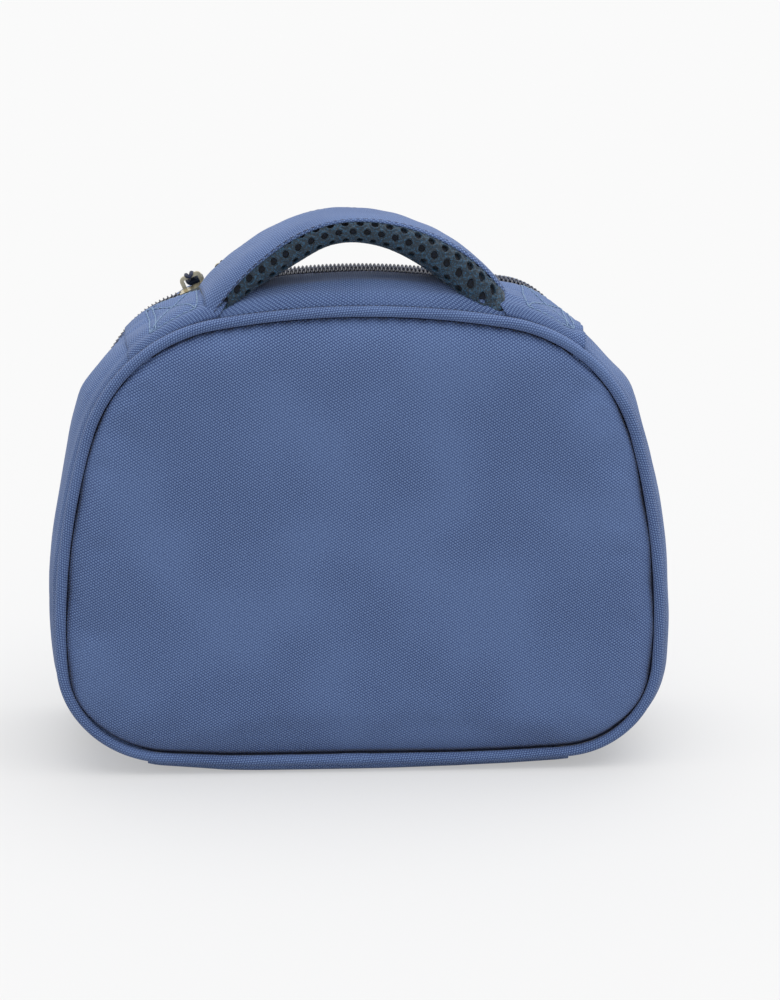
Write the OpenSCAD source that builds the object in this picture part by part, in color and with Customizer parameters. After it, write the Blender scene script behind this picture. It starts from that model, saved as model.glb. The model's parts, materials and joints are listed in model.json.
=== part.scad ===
// Soft insulated lunch box, a clamshell bag of padded oxford cloth. The back half stands as the
// case with the base and the carrying handle, and the front half folds down as the lid. A coil
// zip with two sliders joins them over the top and down both sides.
//
// Every seam, band and track follows an outline: a straight foot, then a corner, a side, a
// shoulder and half the crown as tangent arcs, mirrored. The panel seams have one outline and the
// zip another, which stands higher over the crown. A piece is a profile swept round them, drawn
// as [distance outside the line, depth from the zip's middle].

/* [Body] */
// Width of the panels at the seam
panel_w = 240; // [200:1:290]
// Height of the panels at the seam
panel_h = 183; // [150:1:220]
// Radius of the seam line at the two bottom corners
corner_r = 39; // [30:1:45]
// Radius of the seam line at the two shoulders
shoulder_r = 63; // [50:1:72]
// Depth from the middle of the zip to either panel seam
half_d = 44; // [36:1:56]
// How far the gusset stands outside the seam line
gusset_rise = 8; // [6:0.5:10]
// How much higher the zip stands over the crown than at the sides
zip_lift = 5; // [0:0.5:8]
// Radius of the zip line at the two shoulders
zip_shoulder_r = 80; // [60:1:88]
// Depth over which the gusset rolls over to the seam
gusset_roll = 11; // [8:0.5:13]
// How far the middle of a panel is crowned beyond its seam
panel_crown = 4.4; // [3.5:0.1:6]
// Width of the rounded border of a panel
panel_border = 12; // [9:1:18]

/* [Layers] */
// Thickness of the oxford cloth
cloth_t = 0.8; // [0.6:0.1:1]
// Thickness of the foam in the panels
panel_foam_t = 5; // [4:0.5:6]
// Thickness of the foam in the gusset and base
gusset_foam_t = 3; // [2:0.5:3.5]
// Thickness of the inner lining
lining_t = 0.5; // [0.4:0.1:0.6]
// Air between two layers that are sewn face to face
layer_gap = 0.1; // [0.05:0.01:0.2]

/* [Piping and binding] */
// Radius of the covered piping
piping_r = 2.25; // [1.8:0.05:2.6]
// Radius of the cord inside the piping
piping_cord_r = 1.4; // [1:0.05:1.5]
// Width of the binding tape on the inner seam
binding_w = 9; // [7:0.5:11]
// Thickness of the bound seam allowance
binding_t = 1.8; // [1.4:0.1:2]

/* [Zip] */
// Distance from one turn of the coil to the next
coil_pitch = 1.6; // [1.4:0.1:2.4]
// Height of the coil above its tape
coil_h = 1.9; // [1.5:0.1:1.9]
// Width of one row of the coil
coil_w = 2.6; // [2.2:0.1:2.8]
// Depth of the valley between two turns
coil_valley = 0.55; // [0.3:0.05:0.8]
// Thickness of the zip tape
tape_t = 0.6; // [0.5:0.1:0.8]
// Width of one zip tape
tape_w = 11.4; // [9:0.1:13]
// Half of the slot between the folded gusset edges
slot_half = 6; // [5.9:0.1:8]
// Width of the folded hem along the zip
hem_w = 6; // [4:0.5:8]

/* [Sliders and pulls] */
// Length of a slider along the zip
slider_l = 13; // [11:0.5:15]
// Width of a slider over its shoulders
slider_w = 10.8; // [10:0.1:11]
// Thickness of the slider's plates
slider_plate_t = 1.2; // [1:0.1:1.4]
// Height of the crown above the top plate
crown_h = 5.5; // [5.2:0.1:7]
// Thickness of the crown's bar
crown_t = 1.6; // [1.4:0.1:2]
// Width of the crown's bar
crown_w = 1.8; // [1.4:0.1:2.2]
// Radius of the pull cord
cord_r = 1; // [0.8:0.05:1.1]
// Length of the moulded grip on a pull
grip_l = 24; // [16:1:28]
// Width of the moulded grip
grip_w = 8; // [6:0.5:10]

/* [Handle] */
// Outer radius of the handle's arch
handle_r = 80; // [72:0.5:92]
// Height of the arch's top above the gusset
handle_h = 26; // [24:1:45]
// Thickness of the padded handle
handle_t = 9.5; // [7.5:0.5:12]
// Width of the handle
handle_w = 35; // [28:1:36]
// Thickness of the air mesh under the handle
mesh_t = 1.8; // [1.4:0.1:2.2]
// Width of the webbing in the handle
webbing_w = 25; // [20:1:26]
// Thickness of the webbing
webbing_t = 1.4; // [1:0.1:1.6]
// Length of each sewn tab
tab_l = 38; // [24:1:42]

/* [Fits] */
// Gap between the two bodies where the lid meets the case
lid_gap = 0.4; // [0.35:0.05:0.6]
// Half of the gap between the two rows of the coil
coil_gap = 0.45; // [0.4:0.05:0.6]
// Gap round the zip inside a slider
slider_gap = 0.35; // [0.3:0.05:0.5]
// How far past the crown's end the noses of the parked sliders meet
park_past = 13; // [8:1:13]
// Gap between the noses of the two sliders
nose_gap = 1; // [0.8:0.1:1.5]
// Gap round a pull's cord
pull_gap = 0.3; // [0.3:0.05:0.5]

/* [Hidden] */

// Directions in which the outline passes from one arc to the next, from the corner up
side_start = -2.5;
side_end = 16.5;
crown_start = 80.25;

// The arcs of the right side as [centre, radius, from, to], with the foot at height 0. The foot,
// the side and the crown come from the width and height, so that all of them are tangent
function step(from, to, angle) = (from - to) * [cos(angle), sin(angle)];
function arcs(width, height, corner, shoulder) = let (
    side_term = width / 2 + shoulder * (cos(crown_start) - cos(side_end)),
    height_term = height - corner * (1 + sin(side_start))
        - shoulder * (sin(crown_start) - sin(side_end)),
    solve = (1 - cos(side_end)) * (1 - sin(crown_start))
        - cos(crown_start) * (sin(side_end) - sin(side_start)),
    side = (side_term * (1 - sin(crown_start)) - cos(crown_start) * height_term) / solve,
    crown = ((1 - cos(side_end)) * height_term
        - (sin(side_end) - sin(side_start)) * side_term) / solve,
    foot = width / 2 - corner * cos(side_start) - side * (1 - cos(side_start)),
    corner_c = [foot, corner],
    side_c = corner_c + step(corner, side, side_start),
    shoulder_c = side_c + step(side, shoulder, side_end),
    crown_c = shoulder_c + step(shoulder, crown, crown_start))
    [[corner_c, corner, -90, side_start], [side_c, side, side_start, side_end],
     [shoulder_c, shoulder, side_end, crown_start], [crown_c, crown, crown_start, 90]];
SEAM = arcs(panel_w, panel_h, corner_r, shoulder_r);
ZIP = arcs(panel_w, panel_h + zip_lift, corner_r, zip_shoulder_r);
shoulder_arc = ZIP[2];
crown_arc = ZIP[3];
foot_half = min(SEAM[0][0][0], ZIP[0][0][0]);

// Places of the gusset's layers, as distances outside the zip line
cloth_in = gusset_rise - cloth_t;
foam_out = cloth_in - layer_gap;
foam_in = foam_out - gusset_foam_t;
lining_out = foam_in - layer_gap;
lining_in = lining_out - lining_t;
coil_top = gusset_rise - layer_gap;
tape_out = coil_top - coil_h;
tape_in = tape_out - tape_t;

// Places of the panel layers, as depths
panel_edge = half_d + 0.6;
panel_face = panel_edge + panel_crown;
panel_foam_out = panel_face - cloth_t - layer_gap;
panel_foam_in = panel_foam_out - panel_foam_t;
panel_lining_out = panel_foam_in - layer_gap;
panel_lining_in = panel_lining_out - lining_t;
binding_out = panel_lining_in - layer_gap;

// The piping's centre, where the lid also hinges, and the gusset's edge beside it
piping_off = piping_r + 0.35;
piping_y = half_d + 1;
gusset_edge_off = piping_off - 1.2;
gusset_edge = piping_y - sqrt(pow(piping_r + layer_gap, 2) - pow(1.2, 2));

$fn = 64;

// A quarter of an ellipse in even steps, and a list turned round or made to run anticlockwise
function roll_points(from, to, n) =
    [for (i = [0:n]) [from[0] + (to[0] - from[0]) * sin(90 * i / n),
                      to[1] + (from[1] - to[1]) * cos(90 * i / n)]];
function reversed(list) = [for (i = [len(list) - 1:-1:0]) list[i]];
function area(p) = [for (i = [0:len(p) - 1]) let (q = p[(i + 1) % len(p)])
    p[i][0] * q[1] - q[0] * p[i][1]] * [for (q = p) 1];
function anticlockwise(p) = area(p) > 0 ? p : reversed(p);

// Stations round the outlines as [point on the seam, point on the zip line, angle, side], with no
// arc cut by over 0.3
function at_angle(arc, angle, off) = arc[0] + (arc[1] + off) * [cos(angle), sin(angle)];
function steps(i) = ceil((SEAM[i][3] - SEAM[i][2]) * sqrt(max(SEAM[i][1], ZIP[i][1])) / 75);
function station(i, angle) = [at_angle(SEAM[i], angle, 0), at_angle(ZIP[i], angle, 0), angle, 1];
RIGHT = concat([station(0, -90)], [for (i = [0:3]) each
    [for (k = [1:steps(i)]) station(i, SEAM[i][2] + (SEAM[i][3] - SEAM[i][2]) * k / steps(i))]]);
LEFT = [for (i = [len(RIGHT) - 2:-1:0]) [RIGHT[i][0], RIGHT[i][1], RIGHT[i][2], -1]];
STATIONS = concat(RIGHT, LEFT);

// A profile point at a station: on the seam at 0 of the way, and on the zip line at 1
function place(s, p, way) = let (q = s[0] + way * (s[1] - s[0]) + p[0] * [cos(s[2]), sin(s[2])])
    [s[3] * q[0], q[1], p[1]];
function outline(off, way) = [for (s = STATIONS) let (q = place(s, [off, 0], way)) [q[0], q[1]]];
// The way that the gusset has gone at a depth, as its cloth rolls over from the seam
function rolled(depth) = let (t = max(0, depth - gusset_edge + gusset_roll) / gusset_roll)
    t < 1 ? sqrt(1 - pow(t, 2)) : 0;

// Length along the zip line from the foot to the crown, and the point at a length along it
function arc_len(a) = a[1] * (a[3] - a[2]) * PI / 180;
side_len = arc_len(ZIP[0]) + arc_len(ZIP[1]) + arc_len(ZIP[2]) + arc_len(ZIP[3]);
function along(s, off, i = 0) = s <= arc_len(ZIP[i]) || i == 3
    ? at_angle(ZIP[i], ZIP[i][2] + s / ZIP[i][1] * 180 / PI, off)
    : along(s - arc_len(ZIP[i]), off, i + 1);
// Whether a place at a distance from the middle lies on the crown, and its length along the line
function on_crown(x, off) = x < (crown_arc[1] + off) * cos(crown_start);
function length_at(x, off) = let (arc = on_crown(x, off) ? crown_arc : shoulder_arc)
    side_len - (on_crown(x, off) ? 0 : arc_len(crown_arc))
    - arc[1] * (arc[3] - acos((x - arc[0][0]) / (arc[1] + off))) * PI / 180;

// Stands a half's outline plane upright with its depth to the back, or to the front
module back_half() translate([0, 0, gusset_rise]) rotate([90, 0, 0]) children();
module front_half() mirror([0, 1, 0]) back_half() children();

// Sweeps a profile all the way round the seam
module seam_sweep(outlined) {
    profile = anticlockwise(outlined);
    n = len(STATIONS);
    m = len(profile);
    polyhedron([for (s = STATIONS, p = profile) place(s, p, 0)],
        [for (i = [0:n - 1], j = [0:m - 1]) let (k = (i + 1) % n, l = (j + 1) % m)
            [i * m + j, i * m + l, k * m + l, k * m + j]]);
}
// Sweeps a profile round both sides and the crown, from the seam over to the zip line
module gusset_sweep(outlined) {
    profile = anticlockwise(outlined);
    n = len(STATIONS);
    m = len(profile);
    polyhedron([for (s = STATIONS, p = profile) place(s, p, rolled(p[1]))], concat(
        [for (i = [0:n - 2], j = [0:m - 1]) let (l = (j + 1) % m)
            [i * m + j, i * m + l, (i + 1) * m + l, (i + 1) * m + j]],
        [[for (j = [m - 1:-1:0]) j], [for (j = [0:m - 1]) (n - 1) * m + j]]));
}
// A filled shape whose edge runs through the profile's points, from its inner face outwards
module dish(profile) {
    n = len(STATIONS);
    m = len(profile);
    polyhedron([for (s = STATIONS, p = profile) place(s, p, 0)], concat(
        [for (i = [0:n - 1], j = [0:m - 2]) let (k = (i + 1) % n)
            [i * m + j, i * m + j + 1, k * m + j + 1, k * m + j]],
        [[for (i = [0:n - 1]) i * m], [for (i = [n - 1:-1:0]) i * m + m - 1]]));
}
// A flat strip of a given thickness along the zip line, round both sides and the crown
module strip(in, out, from, to) translate([0, 0, from]) linear_extrude(to - from)
    polygon(concat(outline(out, 1), reversed(outline(in, 1))));
module plate(off, from, to) translate([0, 0, from]) linear_extrude(to - from)
    polygon(outline(off, 0));
module foot_sweep(half_len) rotate([90, 0, -90]) linear_extrude(2 * half_len, center = true)
    children();

// Outer cloth of a panel: a flat middle with a rounded border that dips to the seam
function border(edge, y, w, h) = [for (i = [0:4])
    [edge - w * (1 - cos(22.5 * i)), y + h * sin(22.5 * i)]];
module panel_cloth() dish(concat(
    reversed(border(-cloth_t, panel_edge - cloth_t / 2, panel_border - cloth_t,
        panel_crown - cloth_t / 2)),
    border(0, panel_edge, panel_border, panel_crown)));

// Foam sheet of a panel, thinned under the rounded border
foam_edge = -cloth_t - 1.2;
module panel_foam() dish([
    [foam_edge, panel_foam_in], [foam_edge, panel_foam_in + 0.3 * panel_foam_t],
    [foam_edge - 0.3 * panel_border, panel_foam_out - 0.2 * panel_foam_t],
    [foam_edge - 0.8 * panel_border, panel_foam_out]]);
module panel_lining() plate(-1.2, panel_lining_in, panel_lining_out);

// Piping: a bias strip wrapped round a cord, open where its edges run into the seam
function around(r, from, to, n) = [for (i = [0:n])
    [piping_off, piping_y] + r * [cos(from + (to - from) * i / n), sin(from + (to - from) * i / n)]];
module piping_cover() seam_sweep(concat(around(piping_r, -125, 215, 9),
    around(piping_cord_r + layer_gap, 213, -123, 7)));
module piping_cord() seam_sweep(around(piping_cord_r, 213, -123, 7));

// Binding tape folded over the raw edges of the inner seam, inside the edge of the gusset cloth
binding_edge = gusset_edge_off - lid_gap;
module binding() translate([0, 0, binding_out - binding_t]) linear_extrude(binding_t)
    difference() {
        intersection() {
            polygon(outline(binding_edge, 0));
            polygon(outline(binding_edge, rolled(gusset_edge - cloth_t)));
        }
        polygon(outline(binding_edge - binding_w, 0));
    }

// Gusset cloth: rolls over from the seam, runs level and ends in a folded hem along the zip
hem_edge = slot_half + hem_w;
roll_end = gusset_edge - gusset_roll;
module gusset_cloth() gusset_sweep(concat(
    roll_points([gusset_edge_off, gusset_edge], [gusset_rise, roll_end], 4),
    [[gusset_rise, slot_half], [tape_out + layer_gap, slot_half],
     [tape_out + layer_gap, hem_edge], [cloth_in, hem_edge + 1]],
    reversed(roll_points([gusset_edge_off, gusset_edge - cloth_t], [cloth_in, roll_end], 4))));

// The foam and the lining under it end where the cloth rolls down to the foam's inner face
layer_edge = roll_end - 1.5 + (gusset_roll - cloth_t)
    * cos(asin((foam_in - gusset_edge_off) / (cloth_in - gusset_edge_off)));
module gusset_foam() gusset_sweep(concat(
    roll_points([foam_in, layer_edge], [foam_out, roll_end], 3),
    [[foam_out, hem_edge + 2.2], [foam_in, hem_edge + 2.2]]));

// Gusset lining: level under the foam, with a step up to where it is sewn under the zip tape
lining_seam = tape_in - layer_gap;
module gusset_lining() gusset_sweep([
    [lining_seam, slot_half + 3], [lining_seam, hem_edge + 2.1], [lining_out, hem_edge + 2.1],
    [lining_out, layer_edge], [lining_in, layer_edge], [lining_in, hem_edge + 1.6],
    [lining_seam - lining_t, hem_edge + 1.6], [lining_seam - lining_t, slot_half + 3]]);

// Zip tape, and one row of the coil as a band with a ridge for each turn
tape_edge = coil_gap + 1.1;
module zip_tape() strip(tape_in, tape_out, tape_edge, tape_edge + tape_w);
module zip_coil(stagger) {
    turns = floor(side_len / coil_pitch) - 1;
    crest = [for (i = [0:turns]) each [
        along(coil_pitch * (i + stagger + 0.05), coil_top - coil_valley),
        along(coil_pitch * (i + stagger + 0.30), coil_top),
        along(coil_pitch * (i + stagger + 0.70), coil_top)]];
    translate([0, 0, coil_gap]) linear_extrude(coil_w) polygon(concat(crest,
        [for (p = reversed(crest)) [-p[0], p[1]]], reversed(outline(tape_out, 1))));
}

// The base spans both halves along the straight foot, short of the lid's piping in front
base_half = foot_half - lid_gap;
base_front = gusset_edge - lid_gap;
module base_section(out, in, back, front, roll) polygon(concat(
    roll_points([gusset_edge_off, back], [out, roll_end], 5),
    reversed([for (p = roll_points([gusset_edge_off, front], [out, roll_end], 5)) [p[0], -p[1]]]),
    [for (p = roll_points([gusset_edge_off, front - roll], [in, roll_end], 5)) [p[0], -p[1]]],
    reversed(roll_points([gusset_edge_off, back - roll], [in, roll_end], 5))));

module back_panel() color("#53688f") back_half() panel_cloth();
module back_foam() color("#e8e6df") back_half() panel_foam();
module back_lining() color("#b9bfc6") back_half() panel_lining();
module back_piping() color("#4b5f87") back_half() piping_cover();
module back_piping_cord() color("#dcd8cc") back_half() piping_cord();
module back_binding() color("#2c3550") back_half() binding();
module back_gusset() color("#5a6f99") back_half() gusset_cloth();
module back_gusset_foam() color("#e8e6df") back_half() gusset_foam();
module back_gusset_lining() color("#b9bfc6") back_half() gusset_lining();
module back_zip_tape() color("#1d2740") back_half() zip_tape();
module back_zip_coil() color("#39435c") back_half() zip_coil(0);

module front_panel() color("#53688f") front_half() panel_cloth();
module front_foam() color("#e8e6df") front_half() panel_foam();
module front_lining() color("#b9bfc6") front_half() panel_lining();
module front_piping() color("#4b5f87") front_half() piping_cover();
module front_piping_cord() color("#dcd8cc") front_half() piping_cord();
module front_binding() color("#2c3550") front_half() binding();
module front_gusset() color("#5a6f99") front_half() gusset_cloth();
module front_gusset_foam() color("#e8e6df") front_half() gusset_foam();
module front_gusset_lining() color("#b9bfc6") front_half() gusset_lining();
module front_zip_tape() color("#1d2740") front_half() zip_tape();
module front_zip_coil() color("#39435c") front_half() zip_coil(0.5);

module base_cloth() color("#3b4b6c") back_half() foot_sweep(base_half)
    base_section(gusset_rise, cloth_in, gusset_edge, base_front, cloth_t);
module base_foam() color("#e8e6df") back_half() foot_sweep(base_half)
    translate([foam_in, -roll_end]) square([gusset_foam_t, 2 * roll_end]);
base_lining_front = binding_out - binding_t - lid_gap;
module base_lining() color("#b9bfc6") back_half() foot_sweep(base_half)
    translate([lining_in, -base_lining_front]) square([lining_t, base_lining_front + layer_edge]);

// Handle: an arch over the back gusset, cut square where its underside meets the gusset
body_top = panel_h + zip_lift + 2 * gusset_rise;
handle_c = body_top + handle_h - handle_r;
handle_in = handle_r - handle_t;
handle_y = -(slot_half + 0.6 + handle_w / 2);
// Half the arch's angle down to where its underside crosses the gusset over an arc
function crossing(arc) = let (
    c = [arc[0][0], arc[0][1] + gusset_rise - handle_c],
    r = arc[1] + gusset_rise + slider_gap)
    atan2(c[0], c[1]) - acos((pow(handle_in, 2) + pow(norm(c), 2) - pow(r, 2))
        / (2 * handle_in * norm(c)));
handle_half = on_crown(handle_in * sin(crossing(crown_arc)), gusset_rise)
    ? crossing(crown_arc) : crossing(shoulder_arc);

// Sweeps a profile of [radius, width across] round the handle's arch
module handle_sweep(half_angle) translate([0, handle_y, handle_c]) rotate([90, 0, 0])
    rotate([0, 0, 90 - half_angle]) rotate_extrude(angle = 2 * half_angle) children();
module pad(from, to, width, round) {
    translate([from, -width / 2 + round]) square([to - from, width - 2 * round]);
    translate([from, -width / 2]) square([to - from - round, width]);
    for (s = [-1, 1]) translate([to - round, s * (width / 2 - round)]) circle(round);
}
module handle_cover() color("#5a6f99") handle_sweep(handle_half) difference() {
    pad(handle_in + mesh_t + layer_gap, handle_r, handle_w, 3);
    translate([handle_in, 0]) pad(0, handle_t - cloth_t, handle_w - 2 * cloth_t, 2.4);
}
module handle_mesh() color("#2d5663") handle_sweep(handle_half)
    translate([handle_in, -handle_w / 2]) square([mesh_t, handle_w]);
module handle_foam() color("#e8e6df") handle_sweep(handle_half) difference() {
    pad(handle_in + mesh_t + layer_gap, handle_r - cloth_t - layer_gap,
        handle_w - 2 * (cloth_t + layer_gap), 2.3);
    translate([webbing_in - layer_gap, -webbing_w / 2 - layer_gap])
        square([webbing_t + 2 * layer_gap, webbing_w + 2 * layer_gap]);
}

// Webbing: through the handle's foam, then flat on the gusset under each tab
webbing_in = handle_in + mesh_t + 2;
tab_in = gusset_rise + layer_gap + webbing_t + layer_gap;
tab_from = length_at((webbing_in + webbing_t + 1) * sin(handle_half), tab_in);
// Points along the gusset, from where a tab starts down to near its end
function tail(off, start, end) = [for (i = [0:8])
    along(tab_from - start - (tab_l - start - end) * i / 8, off)];
function handle_at(r, n) = [for (i = [0:n]) let (a = 90 - handle_half + handle_half * i / n)
    [0, handle_c - gusset_rise] + r * [cos(a), sin(a)]];
function both_sides(list) = concat(list, [for (i = [len(list) - 2:-1:0]) [-list[i][0], list[i][1]]]);
webbing_under = both_sides(concat(reversed(tail(gusset_rise + layer_gap, -2 - webbing_t, 3)),
    handle_at(webbing_in, 10)));
webbing_over = both_sides(concat(reversed(tail(gusset_rise + layer_gap + webbing_t, -0.5, 3)),
    handle_at(webbing_in + webbing_t, 10)));
module handle_webbing() color("#27304a") translate([0, handle_y + webbing_w / 2, gusset_rise])
    rotate([90, 0, 0]) linear_extrude(webbing_w)
        polygon(concat(webbing_under, reversed(webbing_over)));
module handle_tab() translate([0, 0, -handle_y - handle_w / 2 + 0.5]) linear_extrude(handle_w - 1)
    polygon(concat(tail(tab_in, 0, 0), reversed(tail(tab_in + cloth_t, 0, 0))));
module handle_tab_right() color("#4f6489") back_half() handle_tab();
module handle_tab_left() color("#4f6489") back_half() mirror([1, 0, 0]) handle_tab();

// Sliders: parked nose to nose on the left shoulder, where the right one's track is still the
// crown's arc run on a little
slider_top = coil_top + slider_gap;
slider_bottom = tape_in - 1.2;
park_x = (crown_arc[1] + coil_top) * cos(crown_start) + park_past;
function half_angle(arc, length) = length / 2 / (arc[1] + coil_top) * 180 / PI;
function nose_angle(arc) = acos((park_x - arc[0][0]) / (arc[1] + coil_top));
left_angle = nose_angle(shoulder_arc) - half_angle(shoulder_arc, slider_l + nose_gap);
right_angle = nose_angle(crown_arc) + half_angle(crown_arc, slider_l + nose_gap);
pivot_off = slider_top + slider_plate_t + crown_h - crown_t / 2;

// Frame on the left-hand arcs with x outwards, y towards the crown and z to the back
module on_left(arc, angle) back_half() mirror([1, 0, 0]) translate(arc[0]) rotate([0, 0, angle])
    children();

// Plan of a slider with its nose at +x: broad shoulders, a notched nose and a narrower tail
module slider_plan() {
    half_w = slider_w / 2;
    nose = slider_l / 2;
    polygon([[-nose, -half_w * 0.72], [-nose + 0.8, -half_w * 0.8], [0, -half_w * 0.84],
        [nose * 0.35, -half_w], [nose * 0.8, -half_w], [nose, -half_w * 0.75],
        [nose, -1.2], [nose * 0.85, -0.5], [nose * 0.85, 0.5], [nose, 1.2],
        [nose, half_w * 0.75], [nose * 0.8, half_w], [nose * 0.35, half_w],
        [0, half_w * 0.84], [-nose + 0.8, half_w * 0.8], [-nose, half_w * 0.72]]);
}
crown_root = slider_plate_t / 2;
module slider_crown() difference() {
    union() {
        translate([-crown_root, -slider_l * 0.36]) square([crown_h + crown_root - 2, slider_l * 0.72]);
        translate([0, -slider_l * 0.36 + 2]) square([crown_h, slider_l * 0.72 - 4]);
        for (s = [-1, 1]) translate([crown_h - 2, s * (slider_l * 0.36 - 2)]) circle(2);
    }
    translate([0, -slider_l * 0.36 + crown_t]) square([crown_h - crown_t, slider_l * 0.72 - 2 * crown_t]);
}
module slider(arc, angle, nose) on_left(arc, angle) {
    span = half_angle(arc, slider_l + 2);
    intersection() {
        rotate([0, 0, -span]) rotate_extrude(angle = 2 * span) translate([arc[1], 0]) {
                translate([slider_top, -slider_w / 2]) square([slider_plate_t, slider_w]);
                translate([slider_top - 1.5, -slider_w / 2]) square([1.6, 0.8]);
                translate([slider_bottom - slider_plate_t, -slider_w / 2])
                    square([slider_plate_t, slider_w]);
            }
        translate([arc[1], 0, 0]) rotate([90, 0, 90]) linear_extrude(20)
            scale([nose, 1]) slider_plan();
    }
    translate([arc[1] + slider_bottom - 0.2, nose * slider_l * 0.26 - 1.4, -0.15])
        cube([slider_top - slider_bottom + 0.4, 2.8, 0.3]);
    translate([arc[1] + slider_top + slider_plate_t, 0, -crown_w / 2]) linear_extrude(crown_w)
        slider_crown();
}
module slider_left() color("#cfc6a4") slider(shoulder_arc, left_angle, 1);
module slider_right() color("#cfc6a4") slider(crown_arc, right_angle, -1);

// Pulls: a cord looped round the crown's bar with a moulded grip, lying forward on the gusset
loop_r = norm([crown_t, crown_w]) / 2 + pull_gap + cord_r;
grip_from = slider_w / 2 + 1.2;
grip_t = 2 * (loop_r + cord_r) + 0.6;
tip_t = 3.4;
pull_drop = asin((pivot_off - gusset_rise - tip_t / 2 - pull_gap) / (grip_from + grip_l));
module on_pull(arc, angle) on_left(arc, angle) translate([arc[1] + pivot_off, 0, 0])
    rotate([0, 90 + pull_drop, 0]) children();
module pull_cord() {
    rotate([90, 0, 0]) rotate([0, 0, 90]) rotate_extrude(angle = 180)
        translate([loop_r, 0]) circle(cord_r, $fn = 24);
    for (s = [-1, 1]) translate([0, 0, s * loop_r]) rotate([0, 90, 0])
        cylinder(h = grip_from + 5, r = cord_r, $fn = 24);
}
module pull_grip() difference() {
    intersection() {
        rotate([90, 0, 0]) linear_extrude(grip_w, center = true) polygon([
            [grip_from, -grip_t / 2], [grip_from + 7, -grip_t / 2],
            [grip_from + grip_l, -tip_t / 2], [grip_from + grip_l, tip_t / 2],
            [grip_from + 7, grip_t / 2], [grip_from, grip_t / 2]]);
        linear_extrude(grip_t, center = true) {
            translate([grip_from, -grip_w / 2 + 1]) square([grip_l - 3, grip_w - 2]);
            translate([grip_from + 1, -grip_w / 2]) square([grip_l - 5, grip_w]);
            for (s = [-1, 1]) {
                translate([grip_from + 1, s * (grip_w / 2 - 1)]) circle(1);
                translate([grip_from + grip_l - 4, s * (grip_w / 2 - 4)]) circle(4);
            }
        }
    }
    for (s = [-1, 1]) translate([grip_from - 1, 0, s * loop_r]) rotate([0, 90, 0])
        cylinder(h = 6 + layer_gap, r = cord_r + layer_gap, $fn = 24);
}
module pull_cord_left() color("#22304d") on_pull(shoulder_arc, left_angle) pull_cord();
module pull_grip_left() color("#1b2233") on_pull(shoulder_arc, left_angle) pull_grip();
module pull_cord_right() color("#22304d") on_pull(crown_arc, right_angle) pull_cord();
module pull_grip_right() color("#1b2233") on_pull(crown_arc, right_angle) pull_grip();

back_panel();
back_foam();
back_lining();
back_piping();
back_piping_cord();
back_binding();
back_gusset();
back_gusset_foam();
back_gusset_lining();
back_zip_tape();
back_zip_coil();
base_cloth();
base_foam();
base_lining();
handle_cover();
handle_mesh();
handle_foam();
handle_webbing();
handle_tab_left();
handle_tab_right();
front_panel();
front_foam();
front_lining();
front_piping();
front_piping_cord();
front_binding();
front_gusset();
front_gusset_foam();
front_gusset_lining();
front_zip_tape();
front_zip_coil();
slider_left();
slider_right();
pull_cord_left();
pull_grip_left();
pull_cord_right();
pull_grip_right();
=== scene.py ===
import json
import math
import bpy
import numpy as np
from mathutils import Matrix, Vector, noise


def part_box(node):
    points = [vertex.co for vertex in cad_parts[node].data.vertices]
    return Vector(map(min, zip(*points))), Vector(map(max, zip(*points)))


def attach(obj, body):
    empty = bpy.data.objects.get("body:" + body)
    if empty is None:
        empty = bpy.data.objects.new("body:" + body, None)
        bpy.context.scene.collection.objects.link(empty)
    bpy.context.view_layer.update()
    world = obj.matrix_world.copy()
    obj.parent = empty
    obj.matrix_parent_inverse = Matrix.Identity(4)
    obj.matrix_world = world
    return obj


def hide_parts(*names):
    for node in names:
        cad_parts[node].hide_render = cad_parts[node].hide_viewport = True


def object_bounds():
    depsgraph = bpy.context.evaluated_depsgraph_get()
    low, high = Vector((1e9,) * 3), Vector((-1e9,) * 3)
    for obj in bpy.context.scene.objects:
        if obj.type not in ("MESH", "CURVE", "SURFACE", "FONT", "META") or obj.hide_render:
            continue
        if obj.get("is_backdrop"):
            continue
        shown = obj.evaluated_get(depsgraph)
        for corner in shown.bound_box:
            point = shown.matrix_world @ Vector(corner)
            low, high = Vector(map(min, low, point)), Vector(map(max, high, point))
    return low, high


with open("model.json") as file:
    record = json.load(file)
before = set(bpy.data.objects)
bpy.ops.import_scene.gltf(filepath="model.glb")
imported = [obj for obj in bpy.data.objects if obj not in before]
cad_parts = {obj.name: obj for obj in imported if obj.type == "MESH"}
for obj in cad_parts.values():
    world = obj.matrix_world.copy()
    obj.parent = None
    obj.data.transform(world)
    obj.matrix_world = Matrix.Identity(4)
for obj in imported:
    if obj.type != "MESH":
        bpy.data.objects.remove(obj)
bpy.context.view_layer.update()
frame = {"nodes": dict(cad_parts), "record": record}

# Panels, the two large faces of the bag. Each is an oval of 600-denier polyester oxford over a
# sheet of soft foam, turned in and sewn down all round. The foam crowns it, and the seam pulls
# its edge down into a deep groove.
MM = 0.001
panel_low, panel_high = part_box("back_panel")
PANEL_W = (panel_high.x - panel_low.x) / MM
PANEL_H = (panel_high.z - panel_low.z) / MM
RISE = panel_low.z / MM
PANEL_FACE = -panel_low.y / MM
PANEL_EDGE = -panel_high.y / MM + 0.2
# The outlines of the seam and the zip: tangent arcs, turning from the floor to the crown
ZIP_LIFT = 5
CORNER_R = 39
SEAM_SHOULDER_R = 63
ZIP_SHOULDER_R = 80
TURNS = (-90, -2.5, 16.5, 80.25, 90)
STATION_STEP = 1.5
PANEL_STEP = 3.2
GRID_CORNERS = (-45, 48)
GRID_MIDDLE = 0.48
GRID_REACH = (0.47, 0.475)
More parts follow.
